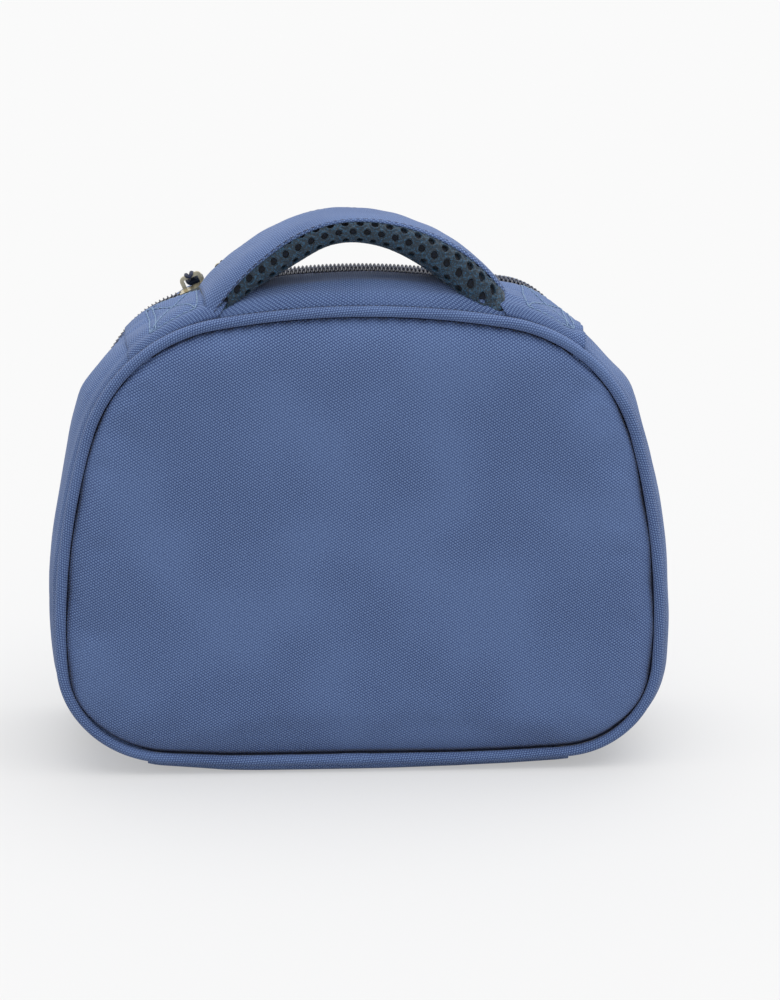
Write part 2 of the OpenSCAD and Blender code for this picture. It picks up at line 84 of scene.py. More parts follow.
# The panel's face: a rounded border tucked into the seam, slow swells and fine puckers
PANEL_BORDER = 13
EDGE_TUCK = 1.6
SWELL_SIZE = 62
PANEL_UNDULATION = 0.55
PUCKER = 0.16
PUCKER_SIZE = 6
PUCKER_REACH = 7
CLOTH_T = 0.8
PUFF_STEPS = 20
PUFF_PRESSURE = 2.5
PUFF_MOST = 1.4
PUFF_SLACK = 0.006
# The sag of the empty front half, by distance in front of the zip, by height and across
SAG_FROM = 3
SAG_SLOPE = 0.31
SAG_STEP = 1.3
SAG_STEP_RUN = 8
SAG_MOST = 10.6
SAG_MOST_AT = 33
SAG_TAPER = 0.47
SAG_EDGE = 5.0
SAG_HEIGHTS = (70, 160)
SAG_CENTRE = 60
SAG_ACROSS = ((-124, 0.12), (-115, 0.45), (-96, 0.45), (-84, 0.5), (-72, 0.32), (-62, 0.3),
              (-42, 1), (42, 1), (62, 0.45), (82, 0.55), (96, 1))
CORNER_LIFT = ((-115, 3.2), (-88, 2.4), (-56, 0.2), (-44, 0), (40, 0), (62, 0.7), (84, 1.9),
               (100, 1.2), (115, 0.8))
CORNER_LIFT_TO = 60
# The lean of the zip over the crown, and where the handle pushes it out at each end
LEAN = 0.4
LEAN_BACK = -6
LEAN_FRONT = 3
LEAN_FADES = (7, 4)
LEAN_HALF = 78
LEAN_HEIGHTS = (150, 175)
NEAR_ZIP = (24, 8)
RIGHT_PUSH = 3.1
RIGHT_PUSH_AT = (68, 14)
RIGHT_PUSH_WAY = (0.45, 0.9)
LEFT_PUSH = 3.8
LEFT_PUSH_AT = (-86, 18)
LEFT_PUSH_WAY = (-0.66, 0.75)
LEFT_PUSH_HEIGHTS = (130, 150)
LEFT_PUSH_DEPTHS = (9, 2)
# The weave: the pitch of its yarns along and across, and how far it is turned on the panels
WEAVE_PITCH = (1.81, 1.2)
WEAVE_TURN = -6.8
OXFORD_DARK = "344b7d"
# The pale yarn-top colour: the weave's pattern, and a painted highlight on each top
OXFORD_TOP_HIGHLIGHT = "7691c2"
OXFORD_RELIEF = 0.2


def arcs(width, height, corner, shoulder):
    """Centres and radii of the corner, side, shoulder and crown of an outline, all tangent."""
    c, s = np.cos(np.radians(TURNS)), np.sin(np.radians(TURNS))
    across = width / 2 + shoulder * (c[3] - c[2])
    up = height - corner * (1 + s[1]) - shoulder * (s[3] - s[2])
    both = (1 - c[2]) * (1 - s[3]) - c[3] * (s[2] - s[1])
    side = (across * (1 - s[3]) - c[3] * up) / both
    crown = ((1 - c[2]) * up - (s[2] - s[1]) * across) / both
    radii = (corner, side, shoulder, crown)
    centres = [np.array([width / 2 - corner * c[1] - side * (1 - c[1]), corner])]
    for k in range(3):
        centres.append(centres[k] + (radii[k] - radii[k + 1]) * np.array([c[k + 1], s[k + 1]]))
    return centres, radii


def stations(line, steps):
    """Points round an outline from the middle of the foot, and the way out at each."""
    centres, radii = line
    half = [((centres[0][0] * k / steps[0], 0), (0, -1)) for k in range(steps[0])]
    for centre, radius, start, end, count in zip(centres, radii, TURNS, TURNS[1:], steps[1:]):
        for angle in np.radians(np.linspace(start, end, count, endpoint=False)):
            out = np.array([math.cos(angle), math.sin(angle)])
            half.append((centre + radius * out, out))
    half.append((centres[3] + np.array([0, radii[3]]), (0, 1)))
    right = np.array([[*point, *out] for point, out in half])
    left = right[-2:0:-1] * (-1, 1, -1, 1)
    both = np.vstack([right, left])
    return both[:, :2], both[:, 2:]


seam_arcs = arcs(PANEL_W, PANEL_H, CORNER_R, SEAM_SHOULDER_R)
zip_arcs = arcs(PANEL_W, PANEL_H + ZIP_LIFT, CORNER_R, ZIP_SHOULDER_R)
arc_lengths = np.radians(np.diff(TURNS)) * np.array(seam_arcs[1])
STEPS = [int(length / STATION_STEP) for length in (seam_arcs[0][0][0], *arc_lengths)]
SEAM, OUT = stations(seam_arcs, STEPS)
ZIP, OUT = stations(zip_arcs, STEPS)
CROWN_STATION = sum(STEPS)
HALVES = (("back", -1, "case"), ("front", 1, "lid"))


def lengths(points):
    """The length along a line of points up to each of them."""
    return np.concatenate([[0], np.cumsum(np.linalg.norm(np.diff(points, axis=0), axis=1))])


def wave(points, size, seed):
    """Smooth noise from -1 to 1 at each point, with swells about as wide as size."""
    return np.array([noise.noise(Vector(p) / size + Vector((seed, 0, 0))) for p in points])


def ease(x, start, end):
    """How far x has gone from start to end, from 0 to 1."""
    return np.clip((x - start) / (end - start), 0, 1)


def hill(x, middle, width):
    """A smooth hill, 1 at its middle and a third as high at its width."""
    return np.exp(-((x - middle) / width) ** 2)


def linear(colour):
    """A hex colour in sRGB as linear red, green, blue and alpha."""
    parts = [int(colour[k:k + 2], 16) / 255 for k in (0, 2, 4)]
    return [x / 12.92 if x <= 0.04045 else ((x + 0.055) / 1.055) ** 2.4 for x in parts] + [1]


def add_node(tree, kind, links=(), **settings):
    """Adds a node with its settings, and links or sets its inputs."""
    made = tree.nodes.new(kind)
    for name, value in settings.items():
        setattr(made, name, value)
    for name, value in dict(links).items():
        if isinstance(value, bpy.types.NodeSocket):
            tree.links.new(value, made.inputs[name])
        else:
            made.inputs[name].default_value = value
    return made


def new_material(name, **sockets):
    """A material with a Principled shader, and the shader's own sockets set."""
    material = bpy.data.materials.new(name)
    material.use_nodes = True
    shader = material.node_tree.nodes["Principled BSDF"]
    for socket, value in sockets.items():
        shader.inputs[socket.replace("_", " ")].default_value = value
    return material, material.node_tree, shader


def tones(colour, dark, pale):
    """Two linear colours, a hex colour made darker and paler."""
    return [[min(1, x * share) for x in linear(colour)[:3]] + [1] for share in (dark, pale)]


def finish(tree, shader, tone, colours, relief=None, strength=0.0, depth=0.0):
    """Colours a surface by one pattern, and raises it by another, by a depth in mm."""
    ramp = add_node(tree, "ShaderNodeValToRGB", {"Fac": tone})
    for stop, colour in zip(ramp.color_ramp.elements, colours):
        stop.color = colour
    tree.links.new(ramp.outputs[0], shader.inputs["Base Color"])
    if relief:
        bump = add_node(tree, "ShaderNodeBump", {"Height": relief, "Strength": strength,
                                                 "Distance": depth * MM})
        tree.links.new(bump.outputs[0], shader.inputs["Normal"])
    return ramp


def oxford(name, dark, light, turned_by):
    """Polyester oxford, plain woven from thick yarn: yarn tops painted paler in a staggered pattern
    on a darker ground, the weave's own pattern with a painted highlight on each top, strong in some
    places and faint in others, and a dry soft sheen."""
    made, tree, shader = new_material(name, Roughness=0.82, Sheen_Weight=0.12, Sheen_Roughness=0.5)
    thread = add_node(tree, "ShaderNodeAttribute", attribute_name="weave").outputs["Vector"]
    slub = add_node(tree, "ShaderNodeTexNoise", {"Vector": thread, "Scale": 0.35, "Detail": 2})
    uneven = add_node(tree, "ShaderNodeVectorMath", {0: slub.outputs["Color"], 1: (0.5,) * 3},
                      operation="SUBTRACT")
    moved = add_node(tree, "ShaderNodeVectorMath",
                     {0: uneven.outputs[0], 1: (0.7, 0.5, 0), 2: thread}, operation="MULTIPLY_ADD")
    turned = add_node(tree, "ShaderNodeMapping",
                      {"Vector": moved.outputs[0], "Rotation": (0, 0, math.radians(turned_by)),
                       "Scale": (WEAVE_PITCH[0] / 2 / math.pi, WEAVE_PITCH[1] / 2 / math.pi, 1)},
                      vector_type="TEXTURE")
    axes = add_node(tree, "ShaderNodeSeparateXYZ", {0: turned.outputs[0]})
    warp = add_node(tree, "ShaderNodeMath", {0: axes.outputs[0]}, operation="COSINE")
    weft = add_node(tree, "ShaderNodeMath", {0: axes.outputs[1]}, operation="COSINE")
    ribs = add_node(tree, "ShaderNodeMath", {0: warp.outputs[0], 1: 0.72, 2: weft.outputs[0]},
                    operation="MULTIPLY_ADD")
    dots = add_node(tree, "ShaderNodeMath", {0: warp.outputs[0], 1: ribs.outputs[0], 2: -0.36},
                    operation="MULTIPLY_ADD")
    bands = add_node(tree, "ShaderNodeTexNoise", {"Vector": thread, "Scale": 0.022, "Detail": 1})
    strength = add_node(tree, "ShaderNodeMapRange",
                        {"Value": bands.outputs[0], 1: 0.38, 2: 0.6, 3: 0.5, 4: 1.0})
    relief = add_node(tree, "ShaderNodeMath", {0: dots.outputs[0], 1: strength.outputs[0]},
                      operation="MULTIPLY")
    grain = add_node(tree, "ShaderNodeTexNoise", {"Vector": thread, "Scale": 1.3, "Detail": 3})
    shade = add_node(tree, "ShaderNodeMath", {0: grain.outputs[0], 1: 0.75, 2: 0.12},
                     operation="MULTIPLY_ADD")
    level = add_node(tree, "ShaderNodeMath",
                     {0: relief.outputs[0], 1: 1.0, 2: shade.outputs[0]}, operation="MULTIPLY_ADD")
    # The ramp's pale end is painted highlight on the yarn tops, laid over the weave's pattern
    finish(tree, shader, level.outputs[0], (linear(dark), linear(light)), relief.outputs[0], 0.8,
           OXFORD_RELIEF)
    return made


oxford_cloth = oxford("oxford_cloth", OXFORD_DARK, OXFORD_TOP_HIGHLIGHT, WEAVE_TURN)
oxford_strip = oxford("oxford_strip", OXFORD_DARK, OXFORD_TOP_HIGHLIGHT, 0)


def set_weave(mesh, places):
    """Stores where each corner of each face lies along the cloth's threads, in millimetres."""
    flat = np.zeros((len(mesh.loops), 3), np.float32)
    flat[:, :2] = places
    layer = mesh.attributes.get("weave") or mesh.attributes.new("weave", "FLOAT_VECTOR", "CORNER")
    layer.data.foreach_set("vector", flat.ravel())


def add_piece(name, mesh, material, body, slot, *stands_for):
    """Links a mesh as a piece that rides on a body, with its finish and the nodes it replaces."""
    piece = bpy.data.objects.new(name, mesh)
    bpy.context.scene.collection.objects.link(piece)
    mesh.materials.append(material)
    mesh.polygons.foreach_set("use_smooth", [True] * len(mesh.polygons))
    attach(piece, body)
    if stands_for:
        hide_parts(*stands_for)
    return piece


def apply_modifiers(piece):
    """Turns what the modifiers show into the piece's own mesh."""
    shown = piece.evaluated_get(bpy.context.evaluated_depsgraph_get())
    made = bpy.data.meshes.new_from_object(shown)
    piece.modifiers.clear()
    piece.data = made
    made.polygons.foreach_set("use_smooth", [True] * len(made.polygons))


def inside_outline(columns, rows):
    """A grid of (x, height) that fills the seam's outline and follows it at the edge."""
    angle = np.degrees(np.arctan2(OUT[:, 1], OUT[:, 0]))
    right = OUT[:, 0] > 0
    low, high = [int(np.argmin(np.abs(angle - corner) + 999 * ~right)) for corner in GRID_CORNERS]
    count = len(SEAM)
    loop = np.vstack([SEAM, SEAM])
    edges = {"right": loop[low:high + 1], "top": loop[high:count - high + 1][::-1],
             "left": loop[count - high:count - low + 1][::-1],
             "bottom": loop[count - low:count + low + 1]}

    def at(edge, t):
        line = edges[edge]
        along = lengths(line)
        place = (t + 1) / 2 * along[-1]
        return np.array([np.interp(place, along, line[:, 0]), np.interp(place, along, line[:, 1])])

    middle = np.array([0, PANEL_H * GRID_MIDDLE])
    grid = np.zeros((columns, rows, 2))
    for i, u in enumerate(np.linspace(-1, 1, columns)):
        for j, v in enumerate(np.linspace(-1, 1, rows)):
            reach = max(abs(u), abs(v), 1e-9)
            if abs(u) >= abs(v):
                rim = at("right" if u > 0 else "left", v / reach)
            else:
                rim = at("top" if v > 0 else "bottom", u / reach)
            straight = middle + np.array([u * PANEL_W * GRID_REACH[0], v * PANEL_H * GRID_REACH[1]])
            share = reach ** 6
            grid[i, j] = (1 - share) * straight + share * (middle + reach * (rim - middle))
    return grid


def inset(points):
    """How far each (x, height) lies inside the seam."""
    return np.array([np.min(np.linalg.norm(SEAM - p, axis=1)) for p in points])


def lift_corners(points):
    """The bottom corners ride a little off the floor, as the bag stands on its middle."""
    moved = np.array(points, float)
    lift = np.interp(moved[..., 0], *np.array(CORNER_LIFT).T)
    moved[..., 2] += lift * ease(moved[..., 2], CORNER_LIFT_TO, 0)
    return moved


def settle(points):
    """The empty front half sags: the further in front of the zip, the more its crown sinks."""
    moved = np.array(points, float)
    across, forward, height = moved[..., 0], moved[..., 1], moved[..., 2]
    run = np.clip(forward - SAG_FROM, 0, None)
    drop = np.minimum(SAG_SLOPE * run + SAG_STEP * ease(run, 0, SAG_STEP_RUN),
                      np.maximum(SAG_EDGE, SAG_MOST - SAG_TAPER * (forward - SAG_MOST_AT)))
    share = ease(height, *SAG_HEIGHTS)
    drop = drop * share ** 2 * (3 - 2 * share) * np.interp(across, *np.array(SAG_ACROSS).T)
    up = height - SAG_CENTRE
    reach = np.hypot(across, up) + 1e-6
    moved[..., 0] -= drop * across / reach
    moved[..., 2] -= drop * up / reach
    return moved


def tip(points):
    """The zip leans back a little over the crown: its front edge rides up, its back one sinks.
    It is pushed out at the left and the right of the handle."""
    moved = np.array(points, float)
    across, deep, height = moved[..., 0], moved[..., 1], moved[..., 2]
    lean = np.clip(deep, LEAN_BACK, LEAN_FRONT)
    fade = (hill(np.minimum(deep, LEAN_BACK), LEAN_BACK, LEAN_FADES[0])
            * hill(np.maximum(deep, LEAN_FRONT), LEAN_FRONT, LEAN_FADES[1]))
    high = ease(height, *LEAN_HEIGHTS)
    near = ease(np.abs(deep), *NEAR_ZIP)
    right = RIGHT_PUSH * hill(across, *RIGHT_PUSH_AT) * high * near
    left = (LEFT_PUSH * hill(across, *LEFT_PUSH_AT) * near * ease(height, *LEFT_PUSH_HEIGHTS)
            * ease(deep, *LEFT_PUSH_DEPTHS))
    moved[..., 0] += RIGHT_PUSH_WAY[0] * right + LEFT_PUSH_WAY[0] * left
    moved[..., 2] += RIGHT_PUSH_WAY[1] * right + LEFT_PUSH_WAY[1] * left
    moved[..., 2] += LEAN * lean * fade * high * np.exp(-(across / LEAN_HALF) ** 6)
    return moved


def on_panel(face, depth, side):
    """Points of a panel's layer at each (x, height) and depth, as the bag stands."""
    return settle(lift_corners(np.column_stack([face[:, 0], side * depth, face[:, 1] + RISE])))


def panel_depth(face, side):
    """Depth of the panel's outer face at each (x, height), and how far inside its seam."""
    depth_in = inset(face)
    rim = np.clip(1 - depth_in / PANEL_BORDER, 0, 1)
    crown = (PANEL_FACE - PANEL_EDGE) * np.sqrt(1 - rim ** 2.3)
    spots = np.column_stack([face, np.full(len(face), 7.0 * side)])
    swell = PANEL_UNDULATION * wave(spots, SWELL_SIZE, 3 + side) * (1 - rim)
    pucker = PUCKER * wave(spots, PUCKER_SIZE, 9 + side) * (depth_in > 0.5)
    pucker = pucker * np.exp(-depth_in / PUCKER_REACH)
    return PANEL_EDGE - EDGE_TUCK * rim ** 12 + crown + swell + pucker, depth_in


def grid_faces(n, m, close_n=False, close_m=False):
    """Faces over a grid of n by m points, as indices and as places (i, j) that don't wrap."""
    i, j = np.meshgrid(np.arange(n - (not close_n)), np.arange(m - (not close_m)), indexing="ij")
    i, j = i.ravel(), j.ravel()
    corners = np.stack([np.stack([i, j], -1), np.stack([i, j + 1], -1),
                        np.stack([i + 1, j + 1], -1), np.stack([i + 1, j], -1)], 1)
    return (corners[..., 0] % n) * m + corners[..., 1] % m, corners


def puff(piece, pinned):
    """Blows cloth out a little against its pinned edge, as the foam behind it does."""
    rest = np.array([v.co for v in piece.data.vertices])
    piece.vertex_groups.new(name="seam").add([int(k) for k in pinned], 1, "REPLACE")
    cloth = piece.modifiers.new("puff", "CLOTH")
    cloth.settings.vertex_group_mass = "seam"
    cloth.settings.use_pressure = True
    cloth.settings.uniform_pressure_force = PUFF_PRESSURE
    cloth.settings.effector_weights.gravity = 0
    cloth.settings.shrink_min = -PUFF_SLACK
    cloth.settings.quality = 8
    cloth.point_cache.frame_start = 1
    cloth.point_cache.frame_end = PUFF_STEPS
    for step in range(1, PUFF_STEPS + 1):
        bpy.context.scene.frame_set(step)
    shown = piece.evaluated_get(bpy.context.evaluated_depsgraph_get())
    move = np.array([v.co for v in shown.data.vertices]) - rest
    size = np.maximum(np.linalg.norm(move, axis=1, keepdims=True), 1e-12)
    most = PUFF_MOST * MM
    blown = rest + move / size * most * np.tanh(size / most)
    piece.modifiers.remove(cloth)
    piece.data.vertices.foreach_set("co", blown.ravel())
    piece.data.update()
    bpy.context.scene.frame_set(1)


for half, side, body in HALVES:
    columns, rows = int(PANEL_W / PANEL_STEP), int(PANEL_H / PANEL_STEP)
    face = inside_outline(columns, rows).reshape(-1, 2)
    depth, depth_in = panel_depth(face, side)
    points = on_panel(face, depth, side) * MM
    faces, _ = grid_faces(columns, rows)
    mesh = bpy.data.meshes.new(half + "_panel_cloth")
    mesh.from_pydata(points.tolist(), [], (faces if side > 0 else faces[:, ::-1]).tolist())
    panel = add_piece(half + "_panel_cloth", mesh, oxford_cloth, body, "oxford_panel",
                      half + "_panel")
    puff(panel, np.flatnonzero(depth_in < 1))
    smooth = panel.modifiers.new("smooth", "SUBSURF")
    smooth.levels = smooth.render_levels = 1
    thick = panel.modifiers.new("cloth", "SOLIDIFY")
    thick.thickness = CLOTH_T * MM
    thick.offset = -1
    apply_modifiers(panel)
    verts = np.array([v.co for v in panel.data.vertices])
    set_weave(panel.data, verts[[c.vertex_index for c in panel.data.loops]][:, [0, 2]] / MM)

# Piping, the round welt between each panel and the gusset. A strip of the same oxford, cut on
# the bias, is wrapped round a plastic cord and caught in the seam. Its ends lap over each other
# under the bag, and a close row of stitches runs in the valley behind it.
PIPING_R = 2.25
PIPING_OFF = PIPING_R + 0.35
PIPING_DEPTH = 45
PIPING_SIDES = 16
LAP_AT = -3
LAP_HALF = 6
PLUMP = 0.035
LAP_PLUMP = 0.09
CORD_R = 1.3
CORD_COLOUR = "dcd8cc"


def swept(profile, side):
    """Sweeps [distance outside the line, depth, way over to the zip line] round the outline."""
    off, depth, way = np.array(profile, float).T
    flat = (SEAM[:, None] + way[None, :, None] * (ZIP - SEAM)[:, None]
            + off[None, :, None] * OUT[:, None])
    return lift_corners(np.stack([flat[..., 0], np.broadcast_to(side * depth, flat.shape[:2]),
                                  flat[..., 1] + RISE], -1))


def ring(count):
    """Even angles round a ring, in radians."""
    return np.arange(count) * 2 * math.pi / count


def outward_normals(mesh):
    """Turns a closed mesh's faces outwards, going by its signed volume."""
    mesh.calc_loop_triangles()
    co = np.array([v.co for v in mesh.vertices])
    tri = co[np.array([t.vertices for t in mesh.loop_triangles])]
    if np.einsum("ij,ij->i", tri[:, 0], np.cross(tri[:, 1], tri[:, 2])).sum() < 0:
        mesh.flip_normals()


def cloth_piece(name, rows, material, body, slot, *stands_for, whole=False, bias=False):
    """A piece over rows of points in mm, each row a closed loop, with the lie of its threads. It
    goes the whole way round the bag, or both its ends are closed. Bias cloth lies at 45."""
    n, m = rows.shape[:2]
    faces, corners = grid_faces(n, m, whole, True)
    down = lengths(np.vstack([rows.mean(1), rows.mean(1)[:1]]))
    girth = lengths(np.vstack([rows[n // 2], rows[n // 2][:1]]))
    places = np.stack([down[corners[..., 0]], girth[corners[..., 1]]], -1).reshape(-1, 2)
    if bias:
        places = np.stack([places.sum(1), places[:, 1] - places[:, 0]], -1) / math.sqrt(2)
    ends = [] if whole else [list(range(m))[::-1], list(range((n - 1) * m, n * m))]
    mesh = bpy.data.meshes.new(name)
    mesh.from_pydata((rows.reshape(-1, 3) * MM).tolist(), [], faces.tolist() + ends)
    set_weave(mesh, np.vstack([places, np.zeros((m * len(ends), 2))]))
    outward_normals(mesh)
    return add_piece(name, mesh, material, body, slot, *stands_for)


def plastic(name, colour, rough, **sockets):
    """Extruded or moulded plastic: an even colour with faint clouds 11 mm wide and a skin of
    0.4 mm grain."""
    made, tree, shader = new_material(name, Roughness=rough, **sockets)
    place = add_node(tree, "ShaderNodeTexCoord").outputs["Object"]
    cloud = add_node(tree, "ShaderNodeTexNoise", {"Vector": place, "Scale": 0.09 / MM, "Detail": 3})
    skin = add_node(tree, "ShaderNodeTexNoise", {"Vector": place, "Scale": 2.5 / MM, "Detail": 2})
    finish(tree, shader, cloud.outputs[0], tones(colour, 0.82, 1.15), skin.outputs[0], 0.25, 0.05)
    return made


welt_cord = plastic("welt_cord", CORD_COLOUR, 0.5)
for half, side, body in HALVES:
    turn = ring(PIPING_SIDES)
    welt, core = [swept([(PIPING_OFF + r * math.cos(a), PIPING_DEPTH + r * math.sin(a), 0)
                         for a in turn], side) for r in (PIPING_R, CORD_R)]
    centre = swept([(PIPING_OFF, PIPING_DEPTH, 0)], side)
    lap = np.exp(-((centre[:, 0, 0] - LAP_AT) / LAP_HALF) ** 8) * (centre[:, 0, 2] < RISE)
    plump = 1 + PLUMP * wave(centre[:, 0], 14, 5 + side) + LAP_PLUMP * lap
    welt = centre + (welt - centre) * plump[:, None, None]
    cloth_piece(half + "_piping_welt", settle(welt), oxford_cloth, body, "oxford_panel",
                half + "_piping", whole=True, bias=True)
    cloth_piece(half + "_welt_cord", settle(core), welt_cord, body, "piping_cord",
                half + "_piping_cord", whole=True)

# Gussets, the two strips that make the top and sides. Each is oxford backed with thin foam. It
# rolls over from the piping with a narrow ridge where the seam allowance lies, swells between
# the seams, and is folded under along the zip and sewn down with two rows of stitches.
GUSSET_EDGE_OFF = 1.4
GUSSET_EDGE = PIPING_DEPTH - math.sqrt(2.35 ** 2 - 1.2 ** 2)
GUSSET_ROLL = 11
ROLL_END = GUSSET_EDGE - GUSSET_ROLL
ROLL_POINTS = 12
LEVEL_POINTS = 30
HEM_FOLD = 6
HEM_HALF = 0.7
HEM_R = 0.9
HEM_EDGE = 12
TAPE_OUT = RISE - 2
# How the padded strip stands out: a low swell, creases, a ridge over the seam allowance with a
# groove beside it, and broad bulges at the shoulders, by height
BACK_SWELL = 0.9
FRONT_SWELL = -0.4
SWELL_AT = (22, 13)
CREASES = 0.45
RIDGE = 0.7
RIDGE_AT = (40.4, 1.3)
GROOVE_AT = (37.2, 1.5)
LEFT_BULGES = ((163, 24, 4.6), (157, 5, 0.8), (24, 40, -3.4))
LEFT_BULGES_FROM = (82, 96)
RIGHT_BULGE = 2.8
RIGHT_BULGE_AT = (158, 9)
RIGHT_BULGE_FROM = 60
BULGE_DEPTH = 26
FOOT = zip_arcs[0][0][0] - 0.01
first = int(np.argmax(np.abs(SEAM[:, 0]) >= FOOT))
FOOT_TO_FOOT = slice(first, len(SEAM) - first + 1)


def rolled(depth):
    """The way from the seam line to the zip line that the cloth has gone at a depth."""
    t = np.clip((np.asarray(depth, float) - ROLL_END) / GUSSET_ROLL, 0, 1)
    return np.sqrt(1 - t ** 2)


def gusset_outside():
    """The gusset's outer face from the seam to the hem's fold, as [off, depth]."""
    turn = np.radians(np.linspace(0, 90, ROLL_POINTS))
    roll = np.column_stack([GUSSET_EDGE_OFF + (RISE - GUSSET_EDGE_OFF) * np.sin(turn),
                            ROLL_END + GUSSET_ROLL * np.cos(turn)])
    level = np.column_stack([np.full(LEVEL_POINTS, float(RISE)),
                             np.linspace(ROLL_END, HEM_FOLD + HEM_HALF, LEVEL_POINTS + 1)[1:]])
    fold = np.radians(np.linspace(90, 250, 6))[1:]
    hem = np.column_stack([RISE - HEM_R + HEM_R * np.sin(fold),
                           HEM_FOLD + HEM_HALF + HEM_HALF * np.cos(fold)])
    return np.vstack([roll, level, hem])


def face_profile(depths):
    """The profile of the gusset's outer face at some depths, ready to be swept."""
    off, deep = gusset_outside()[:ROLL_POINTS + LEVEL_POINTS][::-1].T
    return np.column_stack([np.interp(depths, deep, off), depths, rolled(depths)])


def gusset_swell(rows, side):
    """How far the padded cloth stands out at each point, beyond the plain swept strip."""
    x, depth, z = rows[..., 0], np.abs(rows[..., 1]), rows[..., 2]
    free = ease(depth, 9, 14) * ease(depth, GUSSET_EDGE, GUSSET_EDGE - 4)
    swell = (BACK_SWELL if side < 0 else FRONT_SWELL) * free * hill(depth, *SWELL_AT)
    spots = np.stack([x / 3, depth * 1.6, z / 3], -1).reshape(-1, 3)
    crease = CREASES * free * wave(spots, 7, 20 + side).reshape(depth.shape)
    ridge = RIDGE * ease(z, 30, 70) * (hill(depth, *RIDGE_AT) - 0.5 * hill(depth, *GROOVE_AT))
    if side > 0:
        return swell + crease + ridge
    left = sum(size * hill(z, middle, width) for middle, width, size in LEFT_BULGES)
    left = left * ease(-x, *LEFT_BULGES_FROM)
    right = RIGHT_BULGE * hill(z, *RIGHT_BULGE_AT) * (x > RIGHT_BULGE_FROM)
    low = z < 80
    steep = np.abs(OUT[:, :1])
    bulge = (left + right) * np.where(low, np.maximum(steep, 0.85), steep)
    bulge = bulge * hill(depth, BULGE_DEPTH, np.where(low, 19, 11)) * ease(depth, 6, 12)
    return swell + crease + ridge + bulge


def push_out(rows, out):
    """Moves swept points out from the bag, each by its own number of mm."""
    rows[..., 0] += out * OUT[:, :1]
    rows[..., 2] += out * OUT[:, 1:]
    return rows


for half, side, body in HALVES:
    outside = gusset_outside()
    inside = [(TAPE_OUT + 0.1, HEM_EDGE), (RISE - CLOTH_T, HEM_EDGE + 1),
              (RISE - CLOTH_T, ROLL_END), (GUSSET_EDGE_OFF + 3.6, GUSSET_EDGE - 3.6),
              (GUSSET_EDGE_OFF, GUSSET_EDGE - CLOTH_T)]
    loop = np.vstack([outside, inside])
    rows = swept(np.column_stack([loop, rolled(loop[:, 1])]), side)
    out = gusset_swell(rows, side)
    out[:, len(outside):] = np.minimum(out[:, len(outside):], 0)
    rows = tip(settle(push_out(rows, out)))[FOOT_TO_FOOT]
    gusset = cloth_piece(half + "_gusset_cloth", rows, oxford_strip, body, "oxford_gusset",
                         half + "_gusset")

# Stitches, in bonded polyester thread. Each is a short length of thread that rises from the
# cloth and dives back into it, laid in a line along a seam.
STITCH_SIDES = 6
NAVY_THREAD = "1b2542"
STITCH_ARCH = ((0.06, -0.9, 0.6), (0.16, -0.1, 0.95), (0.5, 0.35, 1), (0.84, -0.1, 0.95),
               (0.94, -0.9, 0.6))
HEM_STITCH = (2.9, 0.2)
WELT_STITCH = (2.4, 0.22)
VALLEY = (PIPING_OFF + PIPING_R * 0.86, PIPING_DEPTH - PIPING_R * 0.72, 0)


def thread_material(name, colour):
    """Twisted filament thread: slightly glossy, with fine diagonal plies 0.4 mm apart. A wave's
    scale is about 0.31 over its spacing, and 0.63 over it on the diagonal."""
    made, tree, shader = new_material(name, Roughness=0.55, Sheen_Weight=0.1)
    place = add_node(tree, "ShaderNodeTexCoord").outputs["Object"]
    plies = add_node(tree, "ShaderNodeTexWave",
                     {"Vector": place, "Scale": 0.9 / MM, "Distortion": 2},
                     bands_direction="DIAGONAL")
    finish(tree, shader, plies.outputs["Fac"], tones(colour, 0.6, 1.25))
    return made


navy_thread = thread_material("navy_thread", NAVY_THREAD)


def resampled(line, spacing):
    """Evenly spaced points on a line of points."""
    along = lengths(line)
    places = np.linspace(0, along[-1], max(2, int(along[-1] / spacing) + 1))
    return np.column_stack([np.interp(places, along, line[:, k]) for k in range(line.shape[1])])


def stitch_rows(name, lines, pitch, radius, material, body, slot):
    """Stitches along lines of (x, y, z, up x, up y, up z) in mm, as one piece."""
    verts, faces = [], []
    arch, _ = grid_faces(len(STITCH_ARCH), STITCH_SIDES, close_m=True)
    turn = ring(STITCH_SIDES)[:, None]
    bottom = np.arange(STITCH_SIDES)
    top = bottom + STITCH_SIDES * (len(STITCH_ARCH) - 1)
    for line in lines:
        knots = resampled(line, pitch)
        for a, b in zip(knots, knots[1:]):
            start, end = a[:3], b[:3]
            up = (a[3:] + b[3:]) / np.linalg.norm(a[3:] + b[3:])
            run = (end - start) / max(np.linalg.norm(end - start), 1e-9)
            around = np.cos(turn) * up + np.sin(turn) * np.cross(run, up)
            faces += [(f + len(verts)).tolist() for f in (*arch, bottom[::-1], top)]
            for t, lift, thick in STITCH_ARCH:
                verts += list(start + (end - start) * t + up * lift * radius
                              + thick * radius * around)
    mesh = bpy.data.meshes.new(name)
    mesh.from_pydata((np.array(verts) * MM).tolist(), [], faces)
    outward_normals(mesh)
    return add_piece(name, mesh, material, body, slot)


def seam_stitches(name, points, ways, stitch, body, slot):
    """Stitches all round a closed seam, each standing the given way out of it."""
    line = np.column_stack([points, ways])
    stitch_rows(name, [np.vstack([line, line[:1]])], *stitch, navy_thread, body, slot)


def gusset_line(depth, side):
    """A line along the gusset's outer face at a depth, as points with their ways out."""
    rows = swept(face_profile(np.array([depth - 0.3, depth, depth + 0.3])), side)
    push_out(rows, gusset_swell(rows, side))
    up = np.cross(rows[:, 2] - rows[:, 0], np.gradient(rows[:, 1], axis=0))
    up /= np.linalg.norm(up, axis=1, keepdims=True)
    flip = np.sign(up[:, 0] * OUT[:, 0] + up[:, 2] * OUT[:, 1])
    up *= np.where(flip == 0, 1, flip)[:, None]
    return np.column_stack([tip(settle(rows[:, 1])), up])[FOOT_TO_FOOT]


